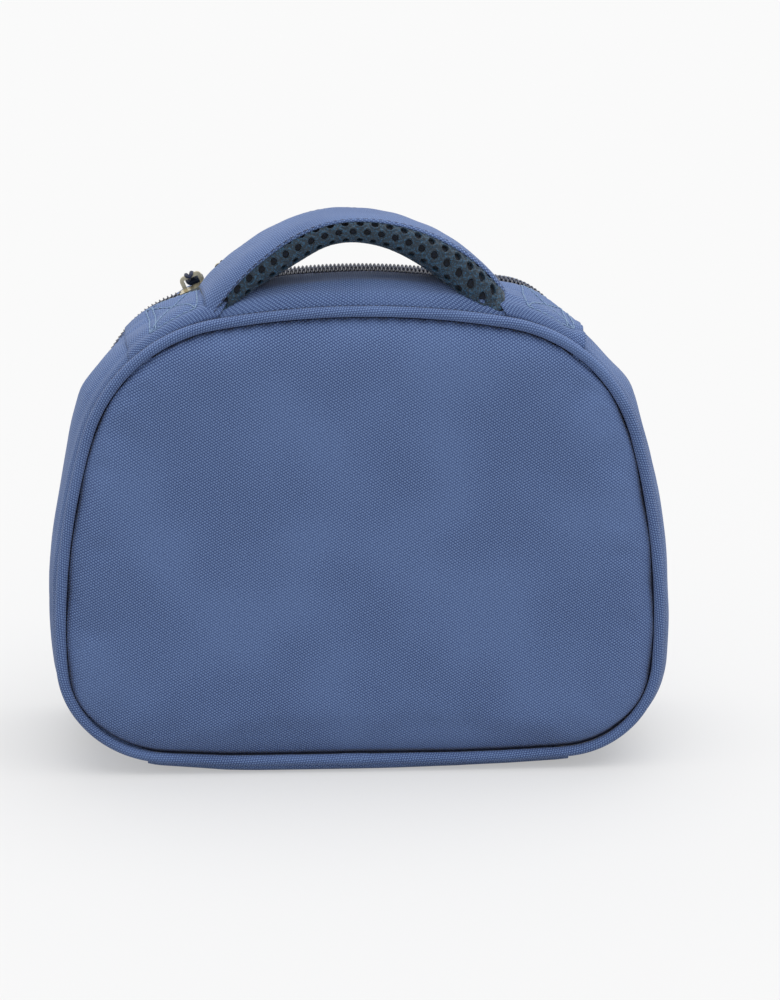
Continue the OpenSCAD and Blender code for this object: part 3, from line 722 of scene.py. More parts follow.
for half, side, body in HALVES:
    for k, depth in enumerate((HEM_FOLD + 2.2, HEM_EDGE - 1)):
        stitch_rows(f"{half}_hem_stitches_{k + 1}", [gusset_line(depth, side)], *HEM_STITCH,
                    navy_thread, body, "oxford_gusset")
    valley = settle(swept([VALLEY], side)[:, 0])
    up = np.column_stack([OUT[:, 0], np.zeros(len(OUT)), OUT[:, 1]])
    seam_stitches(half + "_welt_stitches", valley, up, WELT_STITCH, body, "oxford_panel")

# Zip: a woven tape with a nylon coil sewn on each edge. The coil is one long wire wound into
# flat loops 1.6 mm apart, whose heads lock between the loops of the other half.
COIL_PITCH = 1.6
COIL_WIRE_R = 0.34
COIL_ACROSS = (-0.35, 3.0)
TAPE_ACROSS = (0.25, 12.9)
TAPE_T = 0.6
COIL_TOP = RISE - 0.15
COIL_H = 1.75
COIL_STEPS = 10
COIL_SIDES = 6
TAPE_COLOUR = "1a2340"
COIL_COLOUR = "1f2740"


def tape_material(name, colour):
    """Woven polyester tape: ribs and grooves of half a millimetre each across it, under a finer
    diagonal, with a dull sheen."""
    made, tree, shader = new_material(name, Roughness=0.75, Sheen_Weight=0.15)
    place = add_node(tree, "ShaderNodeTexCoord").outputs["Object"]
    ribs = add_node(tree, "ShaderNodeTexWave",
                    {"Vector": place, "Scale": 0.32 / MM, "Distortion": 1.5}, bands_direction="Y")
    chevrons = add_node(tree, "ShaderNodeTexWave",
                        {"Vector": place, "Scale": 0.42 / MM, "Distortion": 1},
                        bands_direction="DIAGONAL")
    both = add_node(tree, "ShaderNodeMath", {0: ribs.outputs["Fac"], 1: chevrons.outputs["Fac"]},
                    operation="MULTIPLY")
    finish(tree, shader, both.outputs[0], tones(colour, 0.6, 1.8), both.outputs[0], 0.6, 0.1)
    return made


zip_tape = tape_material("woven_zip_tape", TAPE_COLOUR)
nylon_coil = plastic("nylon_coil", COIL_COLOUR, 0.2, Coat_Weight=0.7, Coat_Roughness=0.12)


def tube(path, radius, sides, beside):
    """Rings of points round a path. The way beside it sets where each ring starts."""
    run = np.gradient(path, axis=0)
    run /= np.linalg.norm(run, axis=1, keepdims=True)
    first = np.cross(run, beside)
    first /= np.linalg.norm(first, axis=1, keepdims=True)
    turn = ring(sides)[None, :, None]
    return path[:, None] + radius * (np.cos(turn) * first[:, None]
                                     + np.sin(turn) * np.cross(run, first)[:, None])


def coil_rows(side, stagger):
    """Rings round the coil's wire, which winds from one foot to the other along the zip line. The
    two halves are staggered by half a pitch, so that their heads lock."""
    line = np.column_stack([ZIP, OUT])[FOOT_TO_FOOT]
    along = lengths(line[:, :2])
    steps = np.arange((int(along[-1] / COIL_PITCH) - 1) * COIL_STEPS + 1) / COIL_STEPS
    x, z, ox, oz = [np.interp((steps + 0.5 + stagger) * COIL_PITCH, along, line[:, k])
                    for k in range(4)]
    low, high = COIL_ACROSS[0] + COIL_WIRE_R, COIL_ACROSS[1] - COIL_WIRE_R
    across = (low + high) / 2 - (high - low) / 2 * np.cos(2 * math.pi * steps)
    off = COIL_TOP - COIL_H / 2 + (COIL_H / 2 - COIL_WIRE_R) * np.sin(2 * math.pi * steps)
    path = np.column_stack([x + off * ox, side * across, z + off * oz + RISE])
    return tube(path, COIL_WIRE_R, COIL_SIDES, np.column_stack([-oz, ox * 0, ox]))


for half, side, body in HALVES:
    cloth_piece(half + "_coil_loops", tip(coil_rows(side, (side + 1) / 4)), nylon_coil, body,
                "zip_coil", half + "_zip_coil")
    flat = [(TAPE_OUT, depth, 1) for depth in np.linspace(*TAPE_ACROSS, 10)]
    loop = flat + [(off - TAPE_T, depth, way) for off, depth, way in flat[::-1]]
    cloth_piece(half + "_zip_tape_web", tip(settle(swept(loop, side)))[FOOT_TO_FOOT], zip_tape,
                body, "zip_tape", half + "_zip_tape")

# Handle: a padded arch over the back gusset. A strip of oxford is turned over its top, and dark
# teal spacer mesh wraps the underside and both sides. Foam and webbing run through it, and its
# ends are squashed flat where they are sewn down on the gusset.
handle_low, handle_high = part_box("handle_cover")
HANDLE_R = 80
HANDLE_T = 10.4
HANDLE_W = (handle_high.y - handle_low.y) / MM
HANDLE_Y = (handle_high.y + handle_low.y) / 2 / MM
HANDLE_TOP = handle_high.z / MM
HANDLE_C = HANDLE_TOP - HANDLE_R
HANDLE_REACH = 50.4
HANDLE_LEAN = -5.2
HANDLE_SKEW = 0.09
END_UNDERCUT = 0.1
NEAR_REACH = 0.13
HANDLE_OUTER = ((-50, -3.2), (-40, -3.5), (-30, -3.0), (-20, -1.6), (-8, -0.2), (0, 0), (50, 0))
HANDLE_INNER = ((-50, -5.6), (-40, -5.7), (-26, -6.4), (-17, -4.4), (-8, -0.8), (0, 0),
                (10, -1.0), (26, -4.1), (33, -4.9), (40, -6.4), (50, -7))
HANDLE_STEPS = 90
HANDLE_WAIST = 0.03
END_DROP = 0.8
LEVEL_DEPTH = 20
HANDLE_CLEAR = 0.3
SECTION_POWER = 3.2
SMOOTH_SPREAD = 9


def gusset_height(x, depth):
    """Height of the back gusset's outer face over a place near the crown."""
    near = np.abs(np.arange(len(SEAM)) - CROWN_STATION) < CROWN_STATION * 0.45
    depths = np.linspace(HEM_FOLD + 1, GUSSET_EDGE, 24)
    rows = tip(swept(face_profile(depths), -1)[near])
    heights = np.empty((len(x), len(depths)))
    for k, line in enumerate(rows.transpose(1, 0, 2)):
        sort = np.argsort(line[:, 0])
        heights[:, k] = np.interp(x, line[sort, 0], line[sort, 2])
    place = np.clip(np.asarray(depth), depths[0], depths[-1])
    index = np.clip(np.searchsorted(depths, place) - 1, 0, len(depths) - 2)
    share = (place - depths[index]) / (depths[1] - depths[0])
    picks = np.arange(len(x))
    return heights[picks, index] * (1 - share) + heights[picks, index + 1] * share


def on_gusset(along, depth, lift):
    """Points over the back gusset, at mm along the zip line from its crown, and a depth."""
    deep = gusset_outside()[:ROLL_POINTS + LEVEL_POINTS, 1]
    rows = swept(face_profile(deep), -1)
    rows = tip(push_out(rows, gusset_swell(rows, -1)))
    way = np.cross(np.gradient(rows, axis=0), np.gradient(rows, axis=1))
    way /= np.maximum(np.linalg.norm(way, axis=2, keepdims=True), 1e-9)
    way *= np.sign(way[..., 0] * OUT[:, :1] + way[..., 2] * OUT[:, 1:])[..., None]
    both = np.concatenate([rows, way], -1)
    run = lengths(ZIP)
    i = np.interp(along, (run[CROWN_STATION] - run)[::-1], np.arange(len(ZIP))[::-1])
    j = np.interp(depth, deep[::-1], np.arange(len(deep))[::-1])
    i0, j0 = np.clip(i.astype(int), 0, len(ZIP) - 2), np.clip(j.astype(int), 0, len(deep) - 2)
    a, b = (i - i0)[..., None], (j - j0)[..., None]
    found = ((both[i0, j0] * (1 - b) + both[i0, j0 + 1] * b) * (1 - a)
             + (both[i0 + 1, j0] * (1 - b) + both[i0 + 1, j0 + 1] * b) * a)
    return found[..., :3] + np.asarray(lift)[..., None] * found[..., 3:], found[..., 3:]


def section_point(turn):
    """A point on the handle's rounded section, as (width across, height) from -1 to 1."""
    c, s = np.cos(turn), np.sin(turn)
    size = (np.abs(c) ** SECTION_POWER + np.abs(s) ** SECTION_POWER) ** (-1 / SECTION_POWER)
    return c * size, s * size


def along_handle(table, angle):
    """A size at each angle from a short table, with its steps smoothed over a few degrees."""
    places, sizes = zip(*table)
    spread = np.linspace(-SMOOTH_SPREAD, SMOOTH_SPREAD, 13)
    weight = hill(spread, 0, SMOOTH_SPREAD / 2)
    found = [w * np.interp(angle + d, places, sizes) for d, w in zip(spread, weight)]
    return sum(found) / weight.sum()


def handle_place(angle, across, high, lift):
    """Points in the handle, at degrees from its crest and a place in its section."""
    reach = np.abs(angle) / HANDLE_REACH
    outer = HANDLE_R + along_handle(HANDLE_OUTER, angle) - END_DROP * reach ** 6
    inner = HANDLE_R - HANDLE_T + along_handle(HANDLE_INNER, angle)
    width = HANDLE_W * (0.985 - HANDLE_WAIST * np.cos(np.radians(angle) * 2))
    radius = (outer + inner) / 2 + high * ((outer - inner) / 2 + lift)
    y = HANDLE_Y + across * (width / 2 + lift)
    longer = (1 - high) / 2 * (END_UNDERCUT + NEAR_REACH * (1 - across) / 2)
    a = np.radians(angle * (1 + longer * np.minimum(reach, 1) ** 4))
    x, z = radius * np.sin(a), HANDLE_C + radius * np.cos(a)
    x = x + HANDLE_LEAN - HANDLE_SKEW * (y - HANDLE_Y)
    under = gusset_height(x.ravel(), -y.ravel()).reshape(x.shape)
    level = gusset_height(x.ravel(), np.full(x.size, LEVEL_DEPTH)).reshape(x.shape)
    z = z + (under - level) * np.clip(reach, 0, 1.05) ** 5 * (0.25 + 0.75 * (1 - high) / 2)
    z = np.maximum(z, under + HANDLE_CLEAR + 0.5 * (high + 1) + np.maximum(lift, -0.2))
    return np.stack([x, y, z], -1)


def handle_sheet(start, end, columns, lift, closed=False):
    """A sheet over part of the handle's section, from one turn to another, in degrees. The end
    may be a table along the handle."""
    angle = np.linspace(-HANDLE_REACH, HANDLE_REACH, HANDLE_STEPS + 1)
    share = np.linspace(0, 1, columns + 1)
    if closed:
        share = share[:-1]
    a, t = np.meshgrid(angle, share, indexing="ij")
    stop = along_handle(end, a) if isinstance(end, tuple) else end
    t = np.radians(start + (stop - start) * t)
    lifts = lift(a, t) if callable(lift) else np.full(a.shape, float(lift))
    return handle_place(a, *section_point(t), lifts)


COVER_FROM = 36
COVER_LIFT = 0.75
COVER_ROLL = 0.35
COVER_PINCH = 0.5
COVER_CREASE = 0.35
COVER_EDGE = ((-50, 170), (-40, 168), (-20, 152), (0, 142), (20, 136), (45, 130))


def cover_lift(angle, turn):
    """The cover stands out a little, with turned edges, soft rolls and a few creases."""
    degrees = np.degrees(turn)
    edge = np.minimum(degrees - COVER_FROM, along_handle(COVER_EDGE, angle) - degrees)
    turned = COVER_LIFT + COVER_ROLL * hill(edge, 5, 4) - COVER_PINCH * hill(edge, 0, 2.5)
    spots = np.stack([angle / 1.2, degrees / 6, angle * 0], -1).reshape(-1, 3)
    crease = COVER_CREASE * wave(spots, 5, 41).reshape(angle.shape)
    return turned + crease * ease(edge, 0, 20)


def shell(outer, inner):
    """Closes an outer and an inner sheet of points into one loop round each row."""
    return np.concatenate([outer, inner[:, ::-1]], 1)


cover_outer = handle_sheet(COVER_FROM, COVER_EDGE, 44, cover_lift)
cover_inner = handle_sheet(COVER_FROM, COVER_EDGE, 44, 0.05)
cover = cloth_piece("handle_cover_cloth", shell(cover_outer, cover_inner), oxford_cloth, "case",
                    "oxford_gusset", "handle_cover")

# Handle mesh: polyester spacer mesh with rows of staggered holes, over a knitted backing painted
# near-black, darker than the mesh, as painted shade at the bottoms of the holes.
# Its edges are caught under the cover's, with a line of stitches along each.
HOLE_PITCH = 5.3
HOLE_ROW = 3.7
HOLE_R = 1.3
HOLE_RINGS = ((1.5, 0.5), (1.08, 0.3), (1, -0.5), (1.15, -1.4))
MESH_FROM = -236
MESH_TO = 40
MESH_COLOUR = "15344a"
# The backing's near-black: a real backing layer, its darkness painted shade for the holes
MESH_BACK_SHADE = "0b1626"
COVER_STITCH = (3.0, 0.22)
COVER_STITCH_IN = 5.5


def knit(name, colour, rough):
    """Knitted polyester: tight loops of filament, 0.7 mm wide, with small pale flecks painted into
    its colour as painted highlights, where the bright filament catches the light."""
    made, tree, shader = new_material(name, Roughness=rough, Sheen_Weight=0.25,
                                      Sheen_Roughness=0.4)
    place = add_node(tree, "ShaderNodeTexCoord").outputs["Object"]
    loops = add_node(tree, "ShaderNodeTexVoronoi", {"Vector": place, "Scale": 1.5 / MM})
    flecks = add_node(tree, "ShaderNodeTexNoise",
                      {"Vector": place, "Scale": 0.9 / MM, "Detail": 3})
    both = add_node(tree, "ShaderNodeMath", {0: loops.outputs["Distance"], 1: -0.8,
                                             2: flecks.outputs[0]}, operation="MULTIPLY_ADD")
    # The ramp's pale end, 3.4 times the colour, is painted highlight: the filament's glints
    ramp = finish(tree, shader, both.outputs[0], tones(colour, 0.45, 3.4), both.outputs[0], 0.8,
                  0.3)
    for stop, at in zip(ramp.color_ramp.elements, (0.05, 0.58)):
        stop.position = at
    return made


teal_knit = knit("teal_air_mesh", MESH_COLOUR, 0.6)
# The backing's near-black colour is painted shade at the bottoms of the mesh's holes
dark_knit = knit("dark_mesh_backing", MESH_BACK_SHADE, 0.8)


def hole_cells(girth):
    """The holes of the mesh, each with its rim, throat and the web out to its neighbours, as
    points (way along the arch, way round the section, lift)."""
    arch = math.radians(2 * HANDLE_REACH) * (HANDLE_R - HANDLE_T)
    drop = (HOLE_ROW ** 2 - HOLE_PITCH ** 2 / 4) / 2 / HOLE_ROW
    tall = HOLE_ROW - drop
    corner = [(HOLE_PITCH / 2, -drop), (HOLE_PITCH / 2, drop), (0, tall), (-HOLE_PITCH / 2, drop),
              (-HOLE_PITCH / 2, -drop), (0, -tall)]
    rim = []
    for (ax, ay), (bx, by) in zip(corner, corner[1:] + corner[:1]):
        rim += [(ax, ay), ((ax + bx) / 2, (ay + by) / 2)]
    rings, _ = grid_faces(len(HOLE_RINGS) + 1, len(rim), close_m=True)
    verts, faces = [], []
    for row in range(int(girth / HOLE_ROW)):
        for column in range(int(arch / HOLE_PITCH)):
            cx = (column + 0.5 + 0.5 * (row % 2)) * HOLE_PITCH - arch / 2
            cy = (row + 0.5) * HOLE_ROW - girth / 2
            if abs(cx) > arch / 2 - HOLE_PITCH * 0.45:
                continue
            faces += (rings + len(verts)).tolist()
            for k, (x, y) in enumerate(rim):
                verts.append((cx + x, cy + y, 0.0 if k % 2 else -0.25))
            for size, lift in HOLE_RINGS:
                for x, y in rim:
                    scale = HOLE_R * size / math.hypot(x, y)
                    verts.append((cx + x * scale, cy + y * scale, lift))
    return np.array(verts), faces, arch


degrees = np.linspace(MESH_FROM, MESH_TO, 200)
across, high = section_point(np.radians(degrees))
section_run = lengths(np.column_stack([across * HANDLE_W / 2, high * HANDLE_T / 2]))
cells, cell_faces, arch = hole_cells(section_run[-1])
turn = np.radians(np.interp(cells[:, 1] + section_run[-1] / 2, section_run, degrees))
angle = cells[:, 0] / arch * 2 * HANDLE_REACH
points = handle_place(angle, *section_point(turn), cells[:, 2] - 0.1)
mesh = bpy.data.meshes.new("handle_mesh_face")
mesh.from_pydata((points * MM).tolist(), [], cell_faces)
air_mesh = add_piece("handle_mesh_face", mesh, teal_knit, "case", "air_mesh", "handle_mesh")
air_mesh.modifiers.new("weld", "WELD").merge_threshold = 0.00002
smooth = air_mesh.modifiers.new("smooth", "SUBSURF")
smooth.levels = smooth.render_levels = 1
apply_modifiers(air_mesh)
cloth_piece("handle_mesh_backing", handle_sheet(0, 360, 60, -1.3, closed=True), dark_knit, "case",
            "air_mesh")

cover_edges = []
for table in (COVER_EDGE, ((-50, COVER_FROM + 11), (50, COVER_FROM + 11))):
    angle = np.linspace(-HANDLE_REACH, HANDLE_REACH, 160)
    place = section_point(np.radians(along_handle(table, angle) - COVER_STITCH_IN))
    line, above = [handle_place(angle, *place, np.full(160, lift)) for lift in (0.95, 1.95)]
    cover_edges.append(np.column_stack([line, above - line]))
stitch_rows("handle_cover_stitches", cover_edges, *COVER_STITCH, navy_thread, "case",
            "oxford_gusset")

# Handle ends: at each end the mesh is folded in under the cover and closes the padded tube. It is
# cut from the same spacer mesh and caught in the stitches at the root of the tab.
END_RINGS = ((-3.2, 1.0, 0.3), (-1.6, 1.0, 0.55), (-0.2, 1.0, 0.55), (0.25, 0.93, 0.4),
             (0.5, 0.7, 0.3), (0.6, 0.35, 0.2), (0.65, 0.06, 0.2))
END_SIDES = 56
ENDS = (("left", -1), ("right", 1))
for end, way in ENDS:
    across, high = section_point(ring(END_SIDES))
    rings = [handle_place(np.full(END_SIDES, way * (HANDLE_REACH + past)), across * size,
                          high * size, np.full(END_SIDES, lift)) for past, size, lift in END_RINGS]
    cloth_piece("handle_end_mesh_" + end, np.array(rings), teal_knit, "case", "air_mesh")

# Handle core: a strip of closed-cell foam with the webbing that carries the load through it,
# down to where both are sewn under the tabs.
FOAM_COLOUR = "e3e2dc"
WEBBING_COLOUR = "1d2947"
WEBBING_ACROSS = 0.7
WEBBING_HIGH = 0.16


def closed_cell(name, colour):
    """Closed-cell polyethylene foam: a fine skin of bubbles under a millimetre, matt and pale."""
    made, tree, shader = new_material(name, Roughness=0.85, Subsurface_Weight=0.05)
    place = add_node(tree, "ShaderNodeTexCoord").outputs["Object"]
    cells = add_node(tree, "ShaderNodeTexVoronoi", {"Vector": place, "Scale": 1.4 / MM})
    bubbles = cells.outputs["Distance"]
    finish(tree, shader, bubbles, tones(colour, 0.75, 1), bubbles, 0.5, 0.2)
    return made


pe_foam = closed_cell("pe_foam", FOAM_COLOUR)
navy_webbing = tape_material("navy_webbing", WEBBING_COLOUR)
cloth_piece("handle_foam_core", handle_sheet(0, 360, 48, -2.2, closed=True), pe_foam, "case",
            "foam", "handle_foam")
angle = np.linspace(-HANDLE_REACH - 2, HANDLE_REACH + 2, HANDLE_STEPS)
edges = [(a, b) for b in (1, -1) for a in np.linspace(-b, b, 9)]
across, high = np.array(edges).T * [[WEBBING_ACROSS], [WEBBING_HIGH]]
a, w = np.meshgrid(angle, across, indexing="ij")
band = handle_place(a, w, np.broadcast_to(high, a.shape), np.full(a.shape, -0.5))
cloth_piece("handle_webbing_band", band, navy_webbing, "case", "webbing", "handle_webbing")

# Handle tabs: the cover and the mesh run on past the padding as flat tabs, sewn to the gusset
# with a box and a cross of pale thread. The right one has lifted at its outer end.
TAB_FROM = 49
TAB_TO = {"left": 93, "right": 86}
TAB_DEPTH = (7.2, 42.5)
TAB_THREAD = "7d99bd"
TAB_CLOTH_T = 0.65
TAB_MESH_T = 0.5
BOX_ALONG = (63, 82.5)
BOX_DEPTH = (10.5, 38)
BOX_DOUBLE = 2.6
TAB_LIFT = 3.2
TAB_LOOSE = 9
RIM_PRESS = 0.55
BOX_PRESS = 0.4
TAB_STITCH = (2.8, 0.32)


def tab_lift(along, depth, end):
    """How far a tab has lifted off the gusset: a little at its rim, more at the right end."""
    loose = ease(np.abs(along), TAB_TO[end] - TAB_LOOSE, TAB_TO[end]) ** 2
    near = ease(depth, 12, 36)
    spots = np.stack([along, depth, depth * 0], -1).reshape(-1, 3)
    rumple = 0.25 * wave(spots, 8, 52).reshape(depth.shape)
    return 0.15 + rumple * loose + (TAB_LIFT * loose * near if end == "right" else 0.1 * loose)


(a0, a1), (d0, d1) = BOX_ALONG, BOX_DEPTH
BOX_PATHS = (((a0, d0), (a1, d0)), ((a0, d1), (a1, d1)), ((a0, d0), (a0, d1)),
             ((a1, d0), (a1, d1)), ((a1 - BOX_DOUBLE, d0), (a1 - BOX_DOUBLE, d1)),
             ((a0, d0), (a1, d1)), ((a0, d1), (a1, d0)))


def box_distance(along, depth):
    """Distance from each place on a tab to the nearest line of its box and cross."""
    place = np.stack([along, depth], -1)
    nearest = np.full(along.shape, 99.0)
    for start, stop in np.array(BOX_PATHS, float):
        run = stop - start
        t = np.clip(((place - start) @ run) / (run @ run), 0, 1)
        nearest = np.minimum(nearest, np.linalg.norm(place - start - t[..., None] * run, axis=-1))
    return nearest


def tab_sheet(end, way, low, high):
    """A tab's layer from one height over the gusset to another, as a closed loop each row."""
    along = np.linspace(TAB_FROM, TAB_TO[end], 90)
    a, d = np.meshgrid(along, np.linspace(*TAB_DEPTH, 70), indexing="ij")
    lift = tab_lift(a, d, end)
    rim = np.minimum(np.minimum(a - TAB_FROM, TAB_TO[end] - a),
                     np.minimum(d - TAB_DEPTH[0], TAB_DEPTH[1] - d))
    pressed = RIM_PRESS * np.exp(-rim / 1.5) + BOX_PRESS * hill(box_distance(a, d), 0, 0.9)
    upper, _ = on_gusset(way * a, d, lift + high - pressed)
    lower, _ = on_gusset(way * a, d, lift + low)
    return shell(upper, lower)


pale_thread = thread_material("pale_thread", TAB_THREAD)
for end, way in ENDS:
    rows = tab_sheet(end, way, TAB_MESH_T, TAB_MESH_T + TAB_CLOTH_T)
    cloth_piece("handle_tab_cloth_" + end, rows, oxford_cloth, "case", "oxford_gusset",
                "handle_tab_" + end)
    rows = tab_sheet(end, way, 0.02, TAB_MESH_T - 0.02)
    cloth_piece("handle_tab_mesh_" + end, rows, teal_knit, "case", "air_mesh")
    lines = []
    for start, stop in BOX_PATHS:
        a, d = np.linspace(start, stop, 40).T
        lift = tab_lift(a, d, end) + TAB_MESH_T + TAB_CLOTH_T - 0.15
        lines.append(np.column_stack(on_gusset(way * a, d, lift)))
    stitch_rows("tab_stitches_" + end, lines, *TAB_STITCH, pale_thread, "case", "oxford_gusset")

# Padding, the sheets of the same foam behind both panels and round both gussets. Each is cut a
# little smaller than its cloth and caught in the seams at its edges.
FOAM_INSET = 4.5
FOAM_NEAR = 43.1
GUSSET_FOAM = (0.9, 3.9)
GUSSET_FOAM_FROM = 14.2
FOAM_UNDER = 2.7
FOAM_LEAST = 0.6
SHEET_STEP = 4


def gusset_layer(outer, inner, start, rise=0.0):
    """A layer of the gusset between two distances under its face, as a loop round its section."""
    turn = np.radians(np.linspace(0, 90, 12))
    loop = []
    for under in (outer, inner):
        roll = np.column_stack([GUSSET_EDGE_OFF + (RISE - under - GUSSET_EDGE_OFF) * np.sin(turn),
                                ROLL_END + (GUSSET_ROLL - under) * np.cos(turn), np.sin(turn)])
        depth = np.linspace(ROLL_END, start, 22)[1:]
        off = RISE - under + rise * ease(depth, 15, 10)
        level = np.column_stack([off, depth, np.ones(len(depth))])
        loop.append(np.vstack([roll, level]))
    return np.vstack([loop[0], loop[1][::-1]])


def swept_piece(name, loop, side, material, body, slot, *stands_for, whole=False, crumple=0.0):
    """A strip with a closed section, swept round the bag from foot to foot or all the way."""
    rows = swept(loop, side)
    if crumple:
        out = crumple * (wave((rows / (9, 5, 9)).reshape(-1, 3), 1, 61 + side) - 0.5)
        push_out(rows, out.reshape(rows.shape[:2]))
    if not whole:
        push_out(rows, np.minimum(gusset_swell(rows, side), 0))
    rows = tip(settle(rows))
    return cloth_piece(name, rows if whole else rows[FOOT_TO_FOOT], material, body, slot,
                       *stands_for, whole=whole)


def panel_sheet(name, side, far, near, shrink, material, body, slot, stands_for):
    """A closed sheet that fills the panel's outline, between two depths at each place."""
    columns, rows = int(PANEL_W / SHEET_STEP), int(PANEL_H / SHEET_STEP)
    face = inside_outline(columns, rows).reshape(-1, 2)
    middle = np.array([0, PANEL_H / 2])
    face = middle + (face - middle) * (1 - np.array([shrink * 2 / PANEL_W, shrink * 2 / PANEL_H]))
    layers = [on_panel(face, depth(face), side) for depth in (far, near)]
    faces, _ = grid_faces(columns, rows)
    count = len(face)
    grid = np.arange(count).reshape(columns, rows)
    rim = np.concatenate([grid[:, 0], grid[-1, 1:], grid[-2::-1, -1], grid[0, -2:0:-1]])
    wall = np.column_stack([rim, np.roll(rim, -1), np.roll(rim, -1) + count, rim + count])
    mesh = bpy.data.meshes.new(name)
    every = faces.tolist() + (faces[:, ::-1] + count).tolist() + wall[:, ::-1].tolist()
    mesh.from_pydata((np.vstack(layers) * MM).tolist(), [], every)
    outward_normals(mesh)
    return add_piece(name, mesh, material, body, slot, stands_for)


for half, side, body in HALVES:
    panel_sheet(half + "_foam_sheet", side,
                lambda face: np.maximum(panel_depth(face, side)[0] - FOAM_UNDER,
                                        FOAM_NEAR + FOAM_LEAST),
                lambda face: np.full(len(face), FOAM_NEAR), FOAM_INSET, pe_foam, body, "foam",
                half + "_foam")
    swept_piece(half + "_gusset_foam_strip", gusset_layer(*GUSSET_FOAM, GUSSET_FOAM_FROM), side,
                pe_foam, body, "foam", half + "_gusset_foam")

# Lining, the washable inside: thin silver-grey PEVA film with a slight gloss, crumpled where it
# has been handled, welded along its seams. It covers both panels, both gussets and the base.
LINING_COLOUR = "b9bec4"
LINING_AT = 42.75
LINING_T = 0.35
LINING_INSET = 1.2
GUSSET_LINING = (4.0, 4.4)
GUSSET_LINING_FROM = 9.1
LINING_CRUMPLE = 0.5


def peva_film(name, colour):
    """PEVA film: soft gloss broken by fine creases in all directions, about 6 mm apart, its colour
    painted darker along the creases as painted shade.
    """
    made, tree, shader = new_material(name, Roughness=0.34, Coat_Weight=0.2, Coat_Roughness=0.2)
    place = add_node(tree, "ShaderNodeTexCoord").outputs["Object"]
    folds = add_node(tree, "ShaderNodeTexVoronoi", {"Vector": place, "Scale": 0.16 / MM},
                     feature="DISTANCE_TO_EDGE")
    soft = add_node(tree, "ShaderNodeTexNoise", {"Vector": place, "Scale": 0.12 / MM, "Detail": 4})
    both = add_node(tree, "ShaderNodeMath", {0: folds.outputs["Distance"], 1: 0.8,
                                             2: soft.outputs[0]}, operation="MULTIPLY_ADD")
    # The ramp's dark end along the crease lines is painted shade in the creases
    finish(tree, shader, both.outputs[0], tones(colour, 0.78, 1.12), both.outputs[0], 0.7, 0.8)
    return made


silver_peva = peva_film("silver_peva", LINING_COLOUR)


def film_depth(face, side):
    """Depth of the crumpled film behind a panel at each (x, height)."""
    spots = np.column_stack([face, np.full(len(face), 30.0 * side)])
    return LINING_AT - LINING_CRUMPLE * (1 + wave(spots, 13, 71))


for half, side, body in HALVES:
    panel_sheet(half + "_lining_film", side, lambda face: film_depth(face, side) + LINING_T,
                lambda face: film_depth(face, side), LINING_INSET, silver_peva, body, "lining",
                half + "_lining")
    swept_piece(half + "_gusset_lining_film",
                gusset_layer(*GUSSET_LINING, GUSSET_LINING_FROM, rise=1.2), side, silver_peva,
                body, "lining", half + "_gusset_lining", crumple=LINING_CRUMPLE)

# Binding: a ribbed polyester tape folded over the raw edges of the seam inside the bag and
# stitched through, so that nothing frays into the food.
BINDING_OFF = (1.0, -8.0)
BINDING_DEPTH = (40.6, 42.4)
BINDING_COLOUR = "2b3a60"
BINDING_STITCH = (3.2, 0.18)
binding_tape = tape_material("ribbed_binding", BINDING_COLOUR)
for half, side, body in HALVES:
    low, high = BINDING_DEPTH
    middle, half_t = (low + high) / 2, (high - low) / 2
    turn = np.radians(np.linspace(-90, 90, 7))
    fold = [(BINDING_OFF[1] + half_t - half_t * math.cos(t), middle + half_t * math.sin(t), 0)
            for t in turn]
    flat = [(off, high, 0) for off in np.linspace(BINDING_OFF[1] + 2, BINDING_OFF[0], 4)]
    back = [(off, low, 0) for off in np.linspace(BINDING_OFF[0], BINDING_OFF[1] + 2, 4)]
    swept_piece(half + "_binding_tape", fold + flat + back, side, binding_tape, body, "binding",
                half + "_binding", whole=True)
    line = swept([(BINDING_OFF[1] + 2.2, low - 0.02, 0)], side)[:, 0]
    inward = np.tile([0.0, -side, 0.0], (len(line), 1))
    seam_stitches(half + "_binding_stitches", settle(line), inward, BINDING_STITCH, body,
                  "binding")

# Base: the strip that closes the bag underneath and holds both halves together. Oxford outside,
# foam and film inside, its long edges rolled up to the piping. It is flat where it stands.
BASE_ENDS = (-80.4, 80.4)
BASE_CLOTH_ENDS = (-88, 86.5)
BASE_EDGE = 42.6
BASE_ROLL = 6.5
BASE_FOAM = (0.9, 3.9, 32)
BASE_LINING = (4.05, 4.45, 39.5)
BASE_FULL = (2.4, 2.2)


def base_rows(loop, ends, crumple=0.0):
    """A strip along the bottom, with a closed section of (depth, height)."""
    x = np.linspace(*ends, 64)
    rows = np.empty((len(x), len(loop), 3))
    rows[..., 0] = x[:, None]
    rows[..., 1:] = np.array(loop)[None]
    if crumple:
        rows[..., 2] += crumple * (wave((rows / 9).reshape(-1, 3), 1, 81) + 0.6).reshape(len(x), -1)
    else:
        full = BASE_FULL[0] + BASE_FULL[1] * np.exp(-((x + 18) / 48) ** 4)[:, None]
        rows[..., 1] -= (full * np.sqrt(np.clip(1 - rows[..., 2] / 7, 0, 1))
                         * ease(rows[..., 1], -30, -38))
    past = np.clip(np.abs(x) - FOOT, 0, None)
    rows[..., 2] += (CORNER_R - np.sqrt(CORNER_R ** 2 - past ** 2))[:, None]
    return lift_corners(rows)


def base_face(under):
    """The section of the base's cloth at a distance under its face, from back to front."""
    turn = np.radians(np.linspace(0, 90, 10))
    off = GUSSET_EDGE_OFF + (RISE - GUSSET_EDGE_OFF - under) * np.sin(turn) ** 0.85
    deep = BASE_EDGE - BASE_ROLL + (BASE_ROLL - under) * np.cos(turn)
    roll = np.column_stack([-deep, RISE - off])
    flat = [(y, under + 0.02) for y in np.linspace(-BASE_EDGE + BASE_ROLL, BASE_EDGE - BASE_ROLL,
                                                   24)[1:-1]]
    return np.vstack([roll, flat, roll[::-1] * (-1, 1)])


